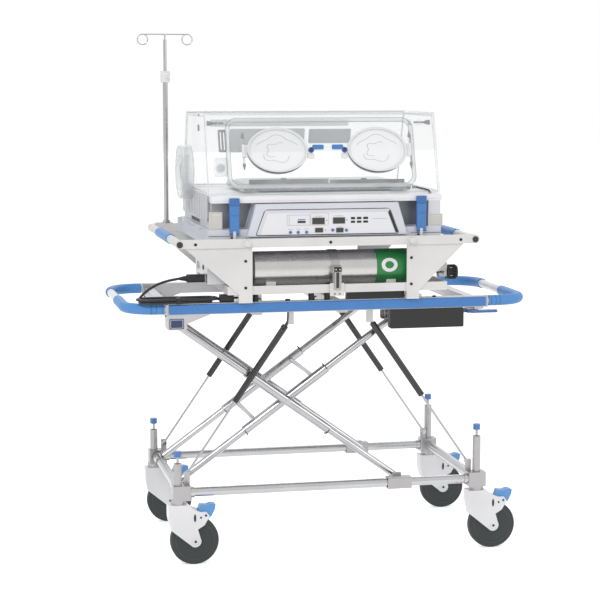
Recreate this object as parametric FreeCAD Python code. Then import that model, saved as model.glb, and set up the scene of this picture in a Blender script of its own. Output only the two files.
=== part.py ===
import FreeCAD, Part
import math
import os

from FreeCAD import Placement, Rotation, Vector

# Transport incubator on a scissor trolley. Millimetres, +Z up. The origin is on the floor at the
# centre of the plan, +X runs along the trolley and -Y is the side with the control panel.

os.makedirs("parts", exist_ok=True)

SIDES = (-1, 1)
X_AXIS = Vector(1, 0, 0)
Y_AXIS = Vector(0, 1, 0)
Z_AXIS = Vector(0, 0, 1)

# Clearances
pin_gap = 0.08
slide_gap = 0.4
seat_gap = 0.3
tube_wall = 2.0

# Base frame
base_half_x = 473.0
base_half_y = 275.0
base_tube_z = 225.0
base_rail_r = 14.0
base_cross_r = 15.0
block_x = 56.0
block_y = 44.0
block_z = 46.0
rail_collar_r = 17.0
rail_collar_length = 12.0
strut_plate_x = 18.0
strut_plate_t = 7.0
strut_plate_rise = 37.0
post_inset_left = -10.0
post_inset_right = 2.0
post_r = 12.5
post_rod_r = 4.0
post_rod_length = 21.0
cap_r = 12.3
cap_h = 18.0

# Casters
wheel_r = 75.0
wheel_width = 32.0
wheel_hub_r = 17.0
wheel_hub_width = 35.2
caster_trail = 50.0
axle_r = 6.0
axle_nut_r = 9.0
axle_nut_length = 4.0
fork_width = 50.0
fork_slot_width = 36.0
fork_slot_r = 79.0
fork_foot_r = 18.5
fork_top_z = 189.6
fork_outline = ((-82.0, 114.6), (-82.0, 75.0), (-74.0, 37.0), (-13.0, -13.0), (13.0, -13.0), (18.0, 3.0),
                (8.0, 37.0), (28.0, 49.0), (45.0, 77.0), (35.0, 91.0), (18.0, 91.0), (-8.0, 101.0),
                (-22.0, 114.6))
ear_slot_start = 9.0
ring_r = 22.0
stem_r = 8.0
stem_depth = 14.0
pedal_width = 30.0
pedal_hinge_x = 33.0
pedal_hinge_z = 155.0
pedal_pin_r = 3.0
pedal_outline = ((-22.0, 13.0), (-16.0, 31.0), (4.0, 29.0), (18.0, 34.0), (32.0, 31.0), (30.0, 17.0),
                 (20.0, -3.0), (10.0, -13.0), (-8.0, -7.0), (-22.0, 1.0))

# Scissor legs
leg_span = 346.0
leg_rise = 262.0
leg_axis_lift = 12.0
leg_r = 11.0
leg_end_inset = 3.0
leg_foot_inset = 18.0
sleeve_r = 14.5
sleeve_half_length = 163.0
rung_r = 7.0
rung_offset = 115.0
leg_a_inset = 89.0
leg_b_inset = 56.0
leg_boss_r = 15.0
leg_boss_width = 24.0
leg_collar_r = 19.0
leg_collar_length = 78.0
torque_tube_r = 10.0
pivot_bolt_r = 5.0
pivot_head_r = 8.0
pivot_head_h = 3.0
pivot_washer_r = 12.0
slider_length = 77.0
slider_r = 18.0
slider_lug_x = 26.0
slider_lug_top = 252.0
slider_lug_t = 8.0
slider_pin_r = 6.0
upper_block_x = 40.0
upper_block_y = 15.0
track_wall = 3.0
track_width = 24.0
track_height = 36.0
track_margin = 30.0

# Lift
lift_travel = 374.0
stop_gap = 2.0

# Platform
platform_left = -512.0
platform_right = 496.0
rail_bottom = 777.0
rail_top = 811.0
rail_outer_y = 291.0
rail_width = 27.0
rail_wall = 2.5
cover_t = 6.5
cover_lip = 2.0
end_cap_t = 5.0
member_bottom = 767.0
member_width = 30.0
member_height = 30.0
member_places = (-497.0, -230.0, 40.0, 300.0, 481.0)
pivot_block_left = -512.0
pivot_block_right = -452.0
pivot_block_bottom = 731.0
pivot_block_inner_y = 235.0
gusset_reach = 72.0
pivot_pin_r = 6.0
loop_z = 795.0
loop_y = 277.5
loop_x = 632.0
loop_corner_r = 95.0
loop_tube_r = 13.0
grip_r = 16.5
grip_front_end_y = -35.0
grip_back_end_y = 175.0
grip_start_gap = 4.0
battery_left = 184.0
battery_right = 422.0
battery_bottom = 716.0
battery_outer_y = 292.0
lever_x = 462.0
lever_y = -225.0
lever_disc_r = 27.0
lever_disc_t = 8.0
lever_arm_length = 92.0
lever_arm_width = 22.0
lever_top_z = 762.0
lever_pin_r = 8.0

# Gas struts
strut_y = 248.0
strut_top_x = 126.0
strut_top_z = 748.0
strut_low_inset = 21.0
strut_low_z = 275.0
strut_r = 10.0
strut_length = 284.0
strut_neck = 22.0
strut_end_play = 12.0
strut_rod_r = 3.6
strut_eye_r = 8.0
strut_eye_width = 11.0
strut_pin_r = 3.0
strut_bracket_x = 20.0
strut_bracket_rise = 13.0

# Carrier frame
carrier_left = -477.0
carrier_right = 449.0
carrier_tube_z = 993.5
carrier_tube_r = 13.0
bar_outer_y = 321.0
bar_depth = 14.0
bar_bottom = 980.0
bar_top = 1007.0
carrier_grip_r = 15.5
carrier_grip_half = 125.0
plate_outer_y = 316.0
plate_t = 5.0
plate_left = (-255.0, -297.0, -461.0)
plate_right = (230.0, 270.0, 412.0)
plate_foot_h = 13.0
plate_foot_y = 30.0
tray_left = -330.0
tray_right = 361.0
tray_bottom = 836.0
tray_top = 862.0
tray_wall = 4.0
foot_r = 9.0
foot_y = 276.0
foot_places = (-239.0, -64.0, -14.0, 262.0)
lock_left = 47.0
lock_right = 229.0
knob_places = (-272.0, 243.0)
knob_r = 12.0
knob_reach = 12.0

# Power module and its inlet
module_left = -385.0
module_right = -264.0
module_front_y = -262.0
module_back_y = -35.0
module_bottom = 862.0
module_top = 972.0
module_wall = 3.0
stand_r = 6.0
stand_inset_left = 70.0
stand_inset_right = 12.0
stand_inset_y = 20.0
inlet_y = -228.0
inlet_z = 881.0
inlet_width = 30.0
inlet_height = 26.0
inlet_depth = 4.0
socket_r = 10.0
socket_places = ((-215.0, 935.0), (-140.0, 935.0), (-90.0, 905.0))

# Oxygen cylinder
cylinder_y = -238.0
cylinder_z = 907.0
cylinder_r = 54.0
cylinder_left = -254.0
cylinder_shoulder = 262.0
cylinder_neck_x = 312.0
cylinder_neck_r = 15.0
cylinder_end_x = 327.0
saddle_places = (-190.0, 190.0)
saddle_x = 30.0
valve_body_r = 16.0
valve_end_x = 378.0
valve_drop = 23.0
valve_knob_r = 22.0
valve_knob_length = 34.0
valve_spindle_r = 6.0
valve_gauge_r = 18.0
outlet_r = 4.5
outlet_length = 16.0
outlet_back = 11.0
strap_x = 9.0
strap_width = 28.0
strap_t = 2.0
strap_plate_t = 3.0
latch_width = 20.0
latch_top_z = 908.0
latch_length = 62.0
latch_t = 6.0
latch_pin_r = 3.0

# Incubator base shell
shell_left = -385.0
shell_right = 347.0
shell_half_y = 285.0
shell_bottom = 985.0
ledge_z = 1033.0
deck_bottom = 1113.0
deck_top = 1133.0
shell_wall = 5.0
body_left = -371.0
body_right = 345.0
recess_y = -245.0
deck_left = -375.0
deck_right = 349.0
slot_half_x = 190.0
slot_width = 14.0
slot_y = 222.0
pillar_left = 306.0
console_room = 0.93
console_floor_t = 4.0
console_roof_t = 8.0
console_wall_t = 4.0
console_depth = 15.0
console_low_left = -269.0
console_low_right = 235.0
console_top_left = -241.0
console_top_right = 205.0
console_bottom = 1010.0
console_top = 1110.0
panel_t = 4.0
panel_side = 28.5
panel_top_inset = 19.0
panel_low_inset = 6.0
service_left = -397.0
service_half_y = 190.0
service_bottom = 990.0
service_top = 1028.0
service_post_y = 14.0
service_post_x = 12.0
fan_x = -110.0
fan_y = 60.0
fan_r = 60.0
fan_height = 24.0
fan_hub_r = 14.0
fan_shaft_r = 4.0
fan_blades = 8
motor_r = 32.0
motor_height = 34.0
heater_x = 110.0
heater_r = 6.0
heater_turns = 4
heater_pitch = 34.0
heater_length = 220.0
heater_strip_first = 50.0
heater_strip_last = 160.0
support_height = 12.0

# Hood
hood_left = -381.0
hood_right = 355.0
hood_wall = 5.0
hood_bottom = 1134.0
hood_top = 1381.0
hood_low_half_y = 252.0
hood_top_half_y = 172.0
skirt_left_z = 1052.0
skirt_right_z = 1036.0
frame_low = 30.0
frame_high = 232.0
frame_left = -307.0
frame_right = 269.0
door_left = -318.0
door_right = 280.0
door_low = 18.0
door_high = 244.0
door_t = 5.0
door_lift = 0.6
door_corner_r = 38.0
door_pin_r = 3.0
door_hinge_inset = 60.0
door_knuckle_r = 6.0
port_centre_x = 158.0
port_centre_v = 137.0
port_half_x = 94.0
port_half_v = 72.0
port_hole_half_x = 84.0
port_hole_half_v = 62.0
port_rim = 5.0
port_rim_h = 8.0
port_pane_t = 4.0
port_hinge_out = 106.0
port_knuckle_r = 5.0
port_pin_r = 2.0
port_hinge_half = 40.0
latch_pivot_x = 53.0
port_latch_r = 9.0
port_latch_arm = 40.0
port_latch_reach = 17.0
port_latch_catch_x = 10.0
port_latch_t = 6.0
port_latch_pin_r = 2.5
bolt_v = 226.0
bolt_knob_r = 8.0
bolt_knob_length = 14.0
bolt_rod_r = 3.0
bolt_block_x = 12.0
bolt_block_gap = 14.0
bolt_tip_gap = 3.0
bolt_travel = 13.0
keeper_x = 18.0
keeper_half_v = 8.0
keeper_cap_t = 2.6
keeper_inset = 4.0
iris_y = 85.0
iris_z = 1190.0
iris_hole_r = 54.0
iris_inner_r = 58.0
iris_outer_r = 86.0
iris_length = 38.0
iris_sleeve_inset = 12.0
iris_tip_inset = 8.0
iris_mouth_r = 24.0

# Hood clamps
clamp_places = (-306.0, 281.0)
clamp_width = 30.0
clamp_t = 12.0
clamp_gap = 1.0
clamp_low = 1018.0
clamp_top = 1127.0
clamp_pin_r = 2.5

# Mattress
tray_m_left = -250.0
tray_m_right = 284.0
tray_m_half_y = 155.0
tray_m_bottom = 1139.0
tray_m_top = 1158.0
tray_m_wall = 3.0
mattress_inset = 4.0
mattress_h = 22.0

# Infusion pole
pole_x = -428.0
pole_y = 314.0
pole_foot_z = 1007.0
pole_r = 8.2
pole_top_z = 1490.0
pole_collar_r = 15.0
pole_collar_low = 1475.0
pole_collar_high = 1511.0
pole_inner_r = 5.6
pole_inner_low = 1110.0
pole_inner_high = 1614.0
hook_z = 1632.0
hook_r = 2.0
hook_half = 72.0
hook_loop_r = 17.0

# Mains lead
lead_r = 4.0
connector_length = 54.0
relief_length = 24.0
relief_tip_r = 5.0
hank_left = -606.0
hank_right = -352.0
hank_y = -270.0
hank_half_y = 36.0
plug_offset_y = -2.0
hank_h = 18.0
wall_plug_length = 42.0
wall_plug_width = 30.0
wall_plug_height = 22.0
plug_pin_r = 2.2
plug_pin_length = 17.0
hank_tail_in = 3.0
plug_pin_half = 9.5
lead_points = (
    (-465.0, -228.0, 881.0),
    (-503.0, -228.0, 876.0),
    (-541.0, -233.0, 863.0),
    (-572.0, -243.0, 845.0),
    (-596.0, -255.0, 823.0),
)

# Values that follow from the sizes above
leg_arm = math.hypot(leg_span, leg_rise)
leg_a_y = base_half_y - leg_a_inset
leg_b_y = base_half_y - leg_b_inset
leg_reach = leg_arm - leg_end_inset
leg_a_foot = leg_arm - leg_foot_inset
strut_low_x = base_half_x - strut_low_inset
lower_pivot = Vector(-base_half_x, 0, base_tube_z)
crossing = lower_pivot + Vector(leg_span, 0, leg_rise)
slider_pivot = lower_pivot + Vector(2 * leg_span, 0, 0)
upper_pivot = lower_pivot + Vector(0, 0, 2 * leg_rise)
upper_slider_pivot = upper_pivot + Vector(2 * leg_span, 0, 0)
leg_slope = math.atan2(leg_rise - leg_axis_lift, leg_span)
angle_up = math.atan2(leg_rise, leg_span)
angle_down = math.asin((2 * leg_rise - lift_travel) / (2 * leg_arm))
slider_run = 2 * leg_arm * (math.cos(angle_down) - math.cos(angle_up))
block_top = base_tube_z + block_z / 2
block_bottom = base_tube_z - block_z / 2
strut_open = math.hypot(strut_low_x - strut_top_x, strut_top_z - strut_low_z)
strut_shut = math.hypot(strut_low_x - strut_top_x, strut_top_z - lift_travel - strut_low_z)
rail_inner_y = rail_outer_y - rail_width
bar_inner_y = bar_outer_y - bar_depth
hood_tilt = math.degrees(math.atan2(hood_low_half_y - hood_top_half_y, hood_top - hood_bottom))
hood_slant = math.hypot(hood_low_half_y - hood_top_half_y, hood_top - hood_bottom)
console_front_y = -shell_half_y - console_depth
battery_depth = battery_outer_y - rail_inner_y - seat_gap
strap_plate_y = plate_outer_y - plate_t + strap_plate_t
bolt_n = door_lift + door_t + bolt_rod_r + slide_gap


def box(x0, x1, y0, y1, z0, z1):
    """Box between two corners, whatever their order."""
    low = Vector(min(x0, x1), min(y0, y1), min(z0, z1))
    return Part.makeBox(abs(x1 - x0), abs(y1 - y0), abs(z1 - z0), low)


def rod(start, end, radius):
    """Solid round bar from one point to another."""
    axis = Vector(*end) - Vector(*start)
    return Part.makeCylinder(radius, axis.Length, Vector(*start), axis)


def tube(start, end, radius, wall):
    """Round tube with open ends."""
    return rod(start, end, radius).cut(rod(start, end, radius - wall))


def cone(start, end, radius_start, radius_end):
    """Tapered round bar."""
    axis = Vector(*end) - Vector(*start)
    return Part.makeCone(radius_start, radius_end, axis.Length, Vector(*start), axis)


def prism(points, direction):
    """Solid made by moving a closed outline along a direction."""
    corners = [Vector(*p) for p in points]
    return Part.Face(Part.makePolygon(corners + corners[:1])).extrude(Vector(*direction))


def profile_xz(points, y0, y1):
    """Outline in the XZ plane given depth from y0 to y1."""
    return prism([(x, y0, z) for x, z in points], (0, y1 - y0, 0))


def rounded(solid, radius, direction):
    """Round the straight edges that run along a direction."""
    edges = []
    for edge in solid.Edges:
        span = edge.Vertexes[-1].Point - edge.Vertexes[0].Point
        if span.Length > 0 and abs(abs(span.normalize().dot(direction)) - 1) < 1e-6:
            edges.append(edge)
    return solid.makeFillet(radius, edges)


def fused(shapes):
    """One solid out of several that touch or overlap."""
    return shapes[0].multiFuse(list(shapes[1:])).removeSplitter()


def corner_radius(before, corner, after):
    """Arc radius at a corner: 0.45 of the shorter run over the tangent of half the turn."""
    run_in = corner - before
    run_out = after - corner
    half_turn = run_in.getAngle(run_out) / 2
    return 0.45 * min(run_in.Length, run_out.Length) / math.tan(half_turn)


def path_wire(points, radius=None):
    """Straight runs joined by tangent arcs, and the radii of those arcs."""
    pts = [Vector(*p) for p in points]
    edges = []
    radii = []
    start = pts[0]
    for i in range(1, len(pts) - 1):
        before, corner, after = pts[i - 1], pts[i], pts[i + 1]
        bend = corner_radius(before, corner, after) if radius is None else radius
        run_in = (corner - before).normalize()
        run_out = (after - corner).normalize()
        half_turn = run_in.getAngle(run_out) / 2
        trim = bend * math.tan(half_turn)
        arc_start = corner - run_in * trim
        arc_end = corner + run_out * trim
        inward = (run_out - run_in).normalize()
        middle = corner + inward * (bend / math.cos(half_turn) - bend)
        if (arc_start - start).Length > 1e-6:
            edges.append(Part.LineSegment(start, arc_start).toShape())
        edges.append(Part.Arc(arc_start, middle, arc_end).toShape())
        radii.append(bend)
        start = arc_end
    edges.append(Part.LineSegment(start, pts[-1]).toShape())
    return Part.Wire(edges), radii


def pipe(points, radius, bend=None):
    """Round bar along straight runs and tangent arcs."""
    wire, radii = path_wire(points, bend)
    start = Vector(*points[0])
    direction = Vector(*points[1]) - start
    section = Part.Wire([Part.makeCircle(radius, start, direction)])
    return wire.makePipeShell([section], True, False), wire, radii


def write(name, shapes):
    """Save one named piece, made of one solid or of several separate ones."""
    solids = []
    for shape in shapes:
        solids.extend(shape.Solids)
    result = solids[0] if len(solids) == 1 else Part.makeCompound(solids)
    result.exportStep("parts/" + name + ".step")


# Base frame

def base_rails():
    solids = []
    reach_x = base_half_x - block_x / 2
    reach_y = base_half_y - block_y / 2
    for side in SIDES:
        y = side * base_half_y
        rail = tube((-reach_x, y, base_tube_z), (reach_x, y, base_tube_z), base_rail_r, tube_wall)
        solids.append(rail)
        for end in SIDES:
            x = end * reach_x
            start = (x, y, base_tube_z)
            stop = (x - end * rail_collar_length, y, base_tube_z)
            solids.append(tube(start, stop, rail_collar_r, rail_collar_r - base_rail_r))
    for end in SIDES:
        x = end * base_half_x
        cross = tube((x, -reach_y, base_tube_z), (x, reach_y, base_tube_z), base_cross_r, tube_wall)
        solids.append(cross)
    write("base_rails", solids)


def swivel_x(end):
    inset = post_inset_left if end < 0 else post_inset_right
    return end * base_half_x + inset


def post_cap_top(end):
    underside = pivot_block_bottom if end < 0 else rail_bottom
    return underside - lift_travel - stop_gap


def corner_blocks():
    solids = []
    for end in SIDES:
        for side in SIDES:
            x = end * base_half_x
            y = side * base_half_y
            block = box(x - block_x / 2, x + block_x / 2, y - block_y / 2, y + block_y / 2,
                        block_bottom, block_top)
            block = rounded(block, 3.0, Z_AXIS)
            post_x = swivel_x(end)
            sleeve_top = post_cap_top(end) - cap_h - post_rod_length
            post = tube((post_x, y, block_top), (post_x, y, sleeve_top), post_r, tube_wall)
            rod_foot = sleeve_top - 2 * post_r
            plunger = rod((post_x, y, rod_foot), (post_x, y, post_cap_top(end) - cap_h), post_rod_r)
            plug = rod((post_x, y, rod_foot), (post_x, y, sleeve_top - 2), post_r - tube_wall)
            plug = fused([plug, plunger])
            plate_x = end * strut_low_x
            plate_outer = side * (strut_y + strut_eye_width / 2 + 1 + strut_plate_t)
            plate_inner = side * (strut_y + strut_eye_width / 2 + 1)
            plate = box(plate_x - strut_plate_x / 2, plate_x + strut_plate_x / 2,
                        plate_inner, plate_outer, block_top, block_top + strut_plate_rise)
            ring = rod((post_x, y, fork_top_z + 0.4), (post_x, y, block_bottom), ring_r)
            stem = rod((post_x, y, fork_top_z - stem_depth), (post_x, y, block_bottom), stem_r)
            solids.extend([block, post, plug, plate, fused([ring, stem])])
    write("corner_blocks", solids)


def buffer_caps():
    solids = []
    for end in SIDES:
        for side in SIDES:
            top = post_cap_top(end)
            foot = Vector(swivel_x(end), side * base_half_y, top - cap_h)
            corners = []
            for i in range(6):
                angle = math.radians(60 * i)
                corners.append(foot + Vector(cap_r * math.cos(angle), cap_r * math.sin(angle), 0))
            cap = prism([tuple(c) for c in corners], (0, 0, cap_h))
            solids.append(rounded(cap, 1.5, Z_AXIS))
    write("buffer_caps", solids)


# Casters

def caster(tag, end, side):
    swivel = swivel_x(end)
    axle_x = swivel + caster_trail
    y = side * base_half_y

    outline = [(axle_x + x, wheel_r + z) for x, z in fork_outline]
    half = fork_width / 2
    fork = profile_xz(outline, y - half, y + half)
    foot = rod((axle_x, y - half, wheel_r), (axle_x, y + half, wheel_r), fork_foot_r)
    fork = fused([fork, foot])
    slot_half = fork_slot_width / 2
    slot = rod((axle_x, y - slot_half, wheel_r), (axle_x, y + slot_half, wheel_r), fork_slot_r)
    hole_top = (swivel, y, fork_top_z + 1)
    hole_foot = (swivel, y, fork_top_z - stem_depth - 1)
    ear_slot = box(axle_x + ear_slot_start, axle_x + wheel_r, y - slot_half, y + slot_half, wheel_r,
                   fork_top_z)
    fork = fork.cut(slot).cut(ear_slot).cut(rod(hole_top, hole_foot, stem_r + pin_gap))
    bolt_start = (axle_x, y - half - axle_nut_length, wheel_r)
    bolt_end = (axle_x, y + half + axle_nut_length, wheel_r)
    fork = fork.cut(rod(bolt_start, bolt_end, axle_r))
    hinge = rod((axle_x + pedal_hinge_x, y - half, pedal_hinge_z),
                (axle_x + pedal_hinge_x, y + half, pedal_hinge_z), pedal_pin_r + pin_gap)
    fork = fork.cut(hinge)
    bolt = rod((axle_x, y - half, wheel_r), (axle_x, y + half, wheel_r), axle_r)
    heads = [rod((axle_x, y + s * half, wheel_r),
                 (axle_x, y + s * (half + axle_nut_length), wheel_r), axle_nut_r) for s in SIDES]
    write("caster_fork_" + tag, [fork, fused([bolt] + heads)])

    wheel = rod((axle_x, y - wheel_width / 2, wheel_r), (axle_x, y + wheel_width / 2, wheel_r), wheel_r)
    wheel = wheel.makeFillet(6.0, [e for e in wheel.Edges if abs(e.Length - 2 * math.pi * wheel_r) < 1])
    hub = rod((axle_x, y - wheel_hub_width / 2, wheel_r),
              (axle_x, y + wheel_hub_width / 2, wheel_r), wheel_hub_r)
    wheel = fused([wheel, hub]).cut(rod(bolt_start, bolt_end, axle_r + pin_gap))
    write("caster_wheel_" + tag, [wheel])

    px = axle_x + pedal_hinge_x
    pz = pedal_hinge_z
    shoe = [(px + x, pz + z) for x, z in pedal_outline]
    pedal = profile_xz(shoe, y - pedal_width / 2, y + pedal_width / 2)
    pin = rod((px, y - half, pz), (px, y + half, pz), pedal_pin_r)
    write("brake_pedal_" + tag, [fused([pedal, pin])])


# Scissor legs

def leg_point(lean, distance, y):
    """Point on a leg's tube axis, measured up the leg from the crossing."""
    return Vector(crossing.x + lean * distance * math.cos(leg_slope), y,
                  crossing.z + distance * math.sin(leg_slope))


def leg_tube(lean, y, foot):
    """Tube with its thicker sleeve. Lean is 1 for a leg that rises to the right."""
    bar = tube(leg_point(lean, -foot, y), leg_point(lean, leg_reach, y), leg_r, tube_wall)
    sleeve = tube(leg_point(lean, -sleeve_half_length, y), leg_point(lean, sleeve_half_length, y),
                  sleeve_r, sleeve_r - leg_r + 0.5)
    return fused([bar, sleeve])


def boss(centre, y, radius):
    return rod((centre.x, y - leg_boss_width / 2, centre.z),
               (centre.x, y + leg_boss_width / 2, centre.z), radius)


def cross_hole(centre, radius, reach=400.0):
    return rod((centre.x, -reach, centre.z), (centre.x, reach, centre.z), radius)


def leg_a_frame():
    solids = []
    washer_inner = leg_a_y + sleeve_r - 1.5
    washer_outer = leg_b_y - sleeve_r - seat_gap
    for side in SIDES:
        y = side * leg_a_y
        collar_start = side * (base_half_y - block_y / 2 - 6)
        collar_end = collar_start - side * leg_collar_length
        collar = rod((lower_pivot.x, collar_start, lower_pivot.z),
                     (lower_pivot.x, collar_end, lower_pivot.z), leg_collar_r)
        leg = fused([leg_tube(1, y, leg_a_foot), collar, boss(upper_slider_pivot, y, leg_boss_r)])
        washer = rod((crossing.x, side * washer_inner, crossing.z),
                     (crossing.x, side * washer_outer, crossing.z), pivot_washer_r)
        leg = fused([leg, washer])
        leg = leg.cut(cross_hole(lower_pivot, base_cross_r + pin_gap))
        leg = leg.cut(cross_hole(crossing, pivot_bolt_r))
        leg = leg.cut(cross_hole(upper_slider_pivot, slider_pin_r + pin_gap))
        solids.append(leg)
        bolt_inner = side * (leg_a_y - sleeve_r - pivot_head_h)
        head_in = rod((crossing.x, bolt_inner, crossing.z),
                      (crossing.x, bolt_inner + side * pivot_head_h, crossing.z), pivot_head_r)
        outer = side * (leg_b_y + sleeve_r + seat_gap)
        shank = rod((crossing.x, bolt_inner, crossing.z), (crossing.x, outer, crossing.z),
                    pivot_bolt_r)
        head_out = rod((crossing.x, outer, crossing.z),
                       (crossing.x, outer + side * pivot_head_h, crossing.z), pivot_head_r)
        solids.append(fused([head_in, shank, head_out]))
    for place in SIDES:
        centre = leg_point(1, place * rung_offset, 0)
        reach = leg_a_y - sleeve_r / 2
        rung = rod((centre.x, -reach, centre.z), (centre.x, reach, centre.z), rung_r)
        for side in SIDES:
            y = side * leg_a_y
            rung = rung.cut(rod(leg_point(1, -leg_a_foot, y), leg_point(1, leg_reach, y), sleeve_r))
        solids.append(rung)
    write("leg_a_frame", solids)


def leg_b_frame():
    solids = []
    for side in SIDES:
        y = side * leg_b_y
        leg = fused([leg_tube(-1, y, leg_reach), boss(slider_pivot, y, leg_boss_r),
                     boss(upper_pivot, y, leg_boss_r)])
        leg = leg.cut(cross_hole(crossing, pivot_bolt_r + pin_gap))
        leg = leg.cut(cross_hole(slider_pivot, slider_pin_r + pin_gap))
        leg = leg.cut(cross_hole(upper_pivot, pivot_pin_r + pin_gap))
        solids.append(leg)
    reach = leg_b_y - leg_boss_width / 2
    solids.append(tube((upper_pivot.x, -reach, upper_pivot.z), (upper_pivot.x, reach, upper_pivot.z),
                       torque_tube_r, tube_wall))
    write("leg_b_frame", solids)


def lower_sliders():
    """Slide boxes of four plates round each base rail, with the leg's pin on the inner plate."""
    solids = []
    x = slider_pivot.x
    x0 = x - slider_length / 2
    x1 = x + slider_length / 2
    inside = base_rail_r + slide_gap
    for side in SIDES:
        y = side * base_half_y
        for up in SIDES:
            plate = box(x0, x1, y - slider_r, y + slider_r, base_tube_z + up * inside,
                        base_tube_z + up * slider_r)
            far_edges = [e for e in plate.Edges if abs(e.Length - slider_length) < 0.01
                         and abs(e.CenterOfMass.z - (base_tube_z + up * slider_r)) < 0.01]
            solids.append(plate.makeFillet(0.8 * (slider_r - inside), far_edges))
        outer = box(x0, x1, y + side * inside, y + side * slider_r, base_tube_z - inside,
                    base_tube_z + inside)
        solids.append(outer)
        inner = box(x0, x1, y - side * inside, y - side * slider_r, base_tube_z - inside,
                    base_tube_z + inside)
        lug = box(x - slider_lug_x / 2, x + slider_lug_x / 2, y - side * slider_r,
                  y - side * (slider_r + slider_lug_t), base_tube_z - inside, slider_lug_top)
        pin_end = side * (leg_b_y - leg_boss_width / 2 - 1)
        pin = rod((x, y - side * slider_r, slider_pivot.z), (x, pin_end, slider_pivot.z), slider_pin_r)
        spacer_end = side * (leg_b_y + leg_boss_width / 2 + seat_gap)
        spacer = rod((x, y - side * slider_r, slider_pivot.z), (x, spacer_end, slider_pivot.z),
                     slider_pin_r + 4)
        solids.append(fused([inner, lug, pin, spacer]))
    write("lower_sliders", solids)


def upper_sliders():
    solids = []
    x = upper_slider_pivot.x
    z = upper_slider_pivot.z
    height = track_height - 2 * track_wall - 2 * slide_gap
    outer = leg_a_y - leg_boss_width / 2 - seat_gap
    for side in SIDES:
        inner = outer - upper_block_y - 3
        block = box(x - upper_block_x / 2, x + upper_block_x / 2, side * (outer - 3), side * inner,
                    z - height / 2, z + height / 2)
        neck = rod((x, side * outer, z), (x, side * (outer - 4), z), slider_pin_r + 4)
        pin = rod((x, side * (inner + 3), z), (x, side * (leg_a_y + leg_boss_width / 2 + 1), z),
                  slider_pin_r)
        solids.append(fused([block, neck, pin]))
    write("upper_sliders", solids)


# Platform

def loop_corners(end):
    """Corner points of one end loop, from the front rail to the back rail."""
    rail_end = platform_left if end < 0 else platform_right
    return [(rail_end, -loop_y, loop_z), (end * loop_x, -loop_y, loop_z),
            (end * loop_x, loop_y, loop_z), (rail_end, loop_y, loop_z)]


def platform_frame():
    solids = []
    for side in SIDES:
        outer = side * rail_outer_y
        inner = side * rail_inner_y
        rail = box(platform_left, platform_right, outer, inner, rail_bottom, rail_top)
        core = box(platform_left, platform_right, outer - side * rail_wall, inner + side * rail_wall,
                   rail_bottom + rail_wall, rail_top - rail_wall)
        solids.append(rail.cut(core))
        for end, x in ((-1, platform_left), (1, platform_right)):
            cap = box(x, x + end * end_cap_t, outer + side * 2, inner - side * 1,
                      rail_bottom - 1, rail_top + 1)
            bore = rod((x - end, side * loop_y, loop_z), (x + end * 20, side * loop_y, loop_z),
                       loop_tube_r)
            solids.append(rounded(cap, 4.0, X_AXIS).cut(bore))
        block = box(pivot_block_left, pivot_block_right, outer, side * pivot_block_inner_y,
                    pivot_block_bottom, rail_bottom)
        solids.append(rounded(block, 4.0, Y_AXIS))
        pin_inner = side * (leg_b_y - leg_boss_width / 2 + 1)
        pin = rod((upper_pivot.x, side * pivot_block_inner_y, upper_pivot.z),
                  (upper_pivot.x, pin_inner, upper_pivot.z), pivot_pin_r)
        shoulder_end = side * (leg_b_y + leg_boss_width / 2 + seat_gap)
        shoulder = rod((upper_pivot.x, side * pivot_block_inner_y, upper_pivot.z),
                       (upper_pivot.x, shoulder_end, upper_pivot.z), leg_boss_r)
        solids.append(fused([pin, shoulder]))
        gusset = [(pivot_block_right, rail_bottom - 28), (pivot_block_right + gusset_reach, rail_bottom),
                  (pivot_block_right, rail_bottom)]
        solids.append(profile_xz(gusset, outer, outer - side * 6))
        track_outer = side * (leg_a_y - leg_boss_width / 2 - seat_gap - 2)
        track_inner = track_outer - side * track_width
        low = upper_slider_pivot.z - track_height / 2
        high = upper_slider_pivot.z + track_height / 2
        start = upper_slider_pivot.x - track_margin
        stop = upper_slider_pivot.x + slider_run + track_margin
        back = box(start, stop, track_inner, track_inner + side * track_wall, low, high)
        floor = box(start, stop, track_inner + side * track_wall, track_outer, low, low + track_wall)
        roof = box(start, stop, track_inner + side * track_wall, track_outer, high - track_wall, high)
        solids.extend([back, floor, roof])
        for x in (strut_top_x, -strut_top_x):
            near = side * (strut_y + strut_eye_width / 2 + 0.5)
            far = side * rail_inner_y
            plate = box(x - strut_bracket_x / 2, x + strut_bracket_x / 2, near, far,
                        strut_top_z - strut_bracket_rise, rail_bottom + strut_bracket_rise)
            pin = rod((x, near, strut_top_z), (x, side * (strut_y - strut_eye_width / 2 - 1), strut_top_z),
                      strut_pin_r)
            solids.append(fused([plate, pin]))
    for x in member_places:
        solids.append(box(x - member_width / 2, x + member_width / 2, -rail_inner_y, rail_inner_y,
                          member_bottom, member_bottom + member_height))
    lever_pin = rod((lever_x, lever_y, lever_top_z - lever_disc_t - 4), (lever_x, lever_y, member_bottom),
                    lever_pin_r)
    foot = box(lever_x - 14, lever_x + 34, lever_y - 14, lever_y + 14, lever_top_z + seat_gap,
               member_bottom)
    solids.append(fused([lever_pin, foot]))
    write("platform_frame", solids)


def rail_covers():
    solids = []
    for side in SIDES:
        inner = side * rail_outer_y
        outer = side * (rail_outer_y + cover_t)
        cover = box(platform_left + 4, platform_right - 4, inner, outer, rail_bottom + cover_lip,
                    rail_top - cover_lip)
        rounded_edges = [e for e in cover.Edges
                         if abs(e.Length - (platform_right - platform_left - 8)) < 0.01
                         and abs(abs(e.CenterOfMass.y) - abs(outer)) < 0.01]
        solids.append(cover.makeFillet(4.0, rounded_edges))
    write("rail_covers", solids)


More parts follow.
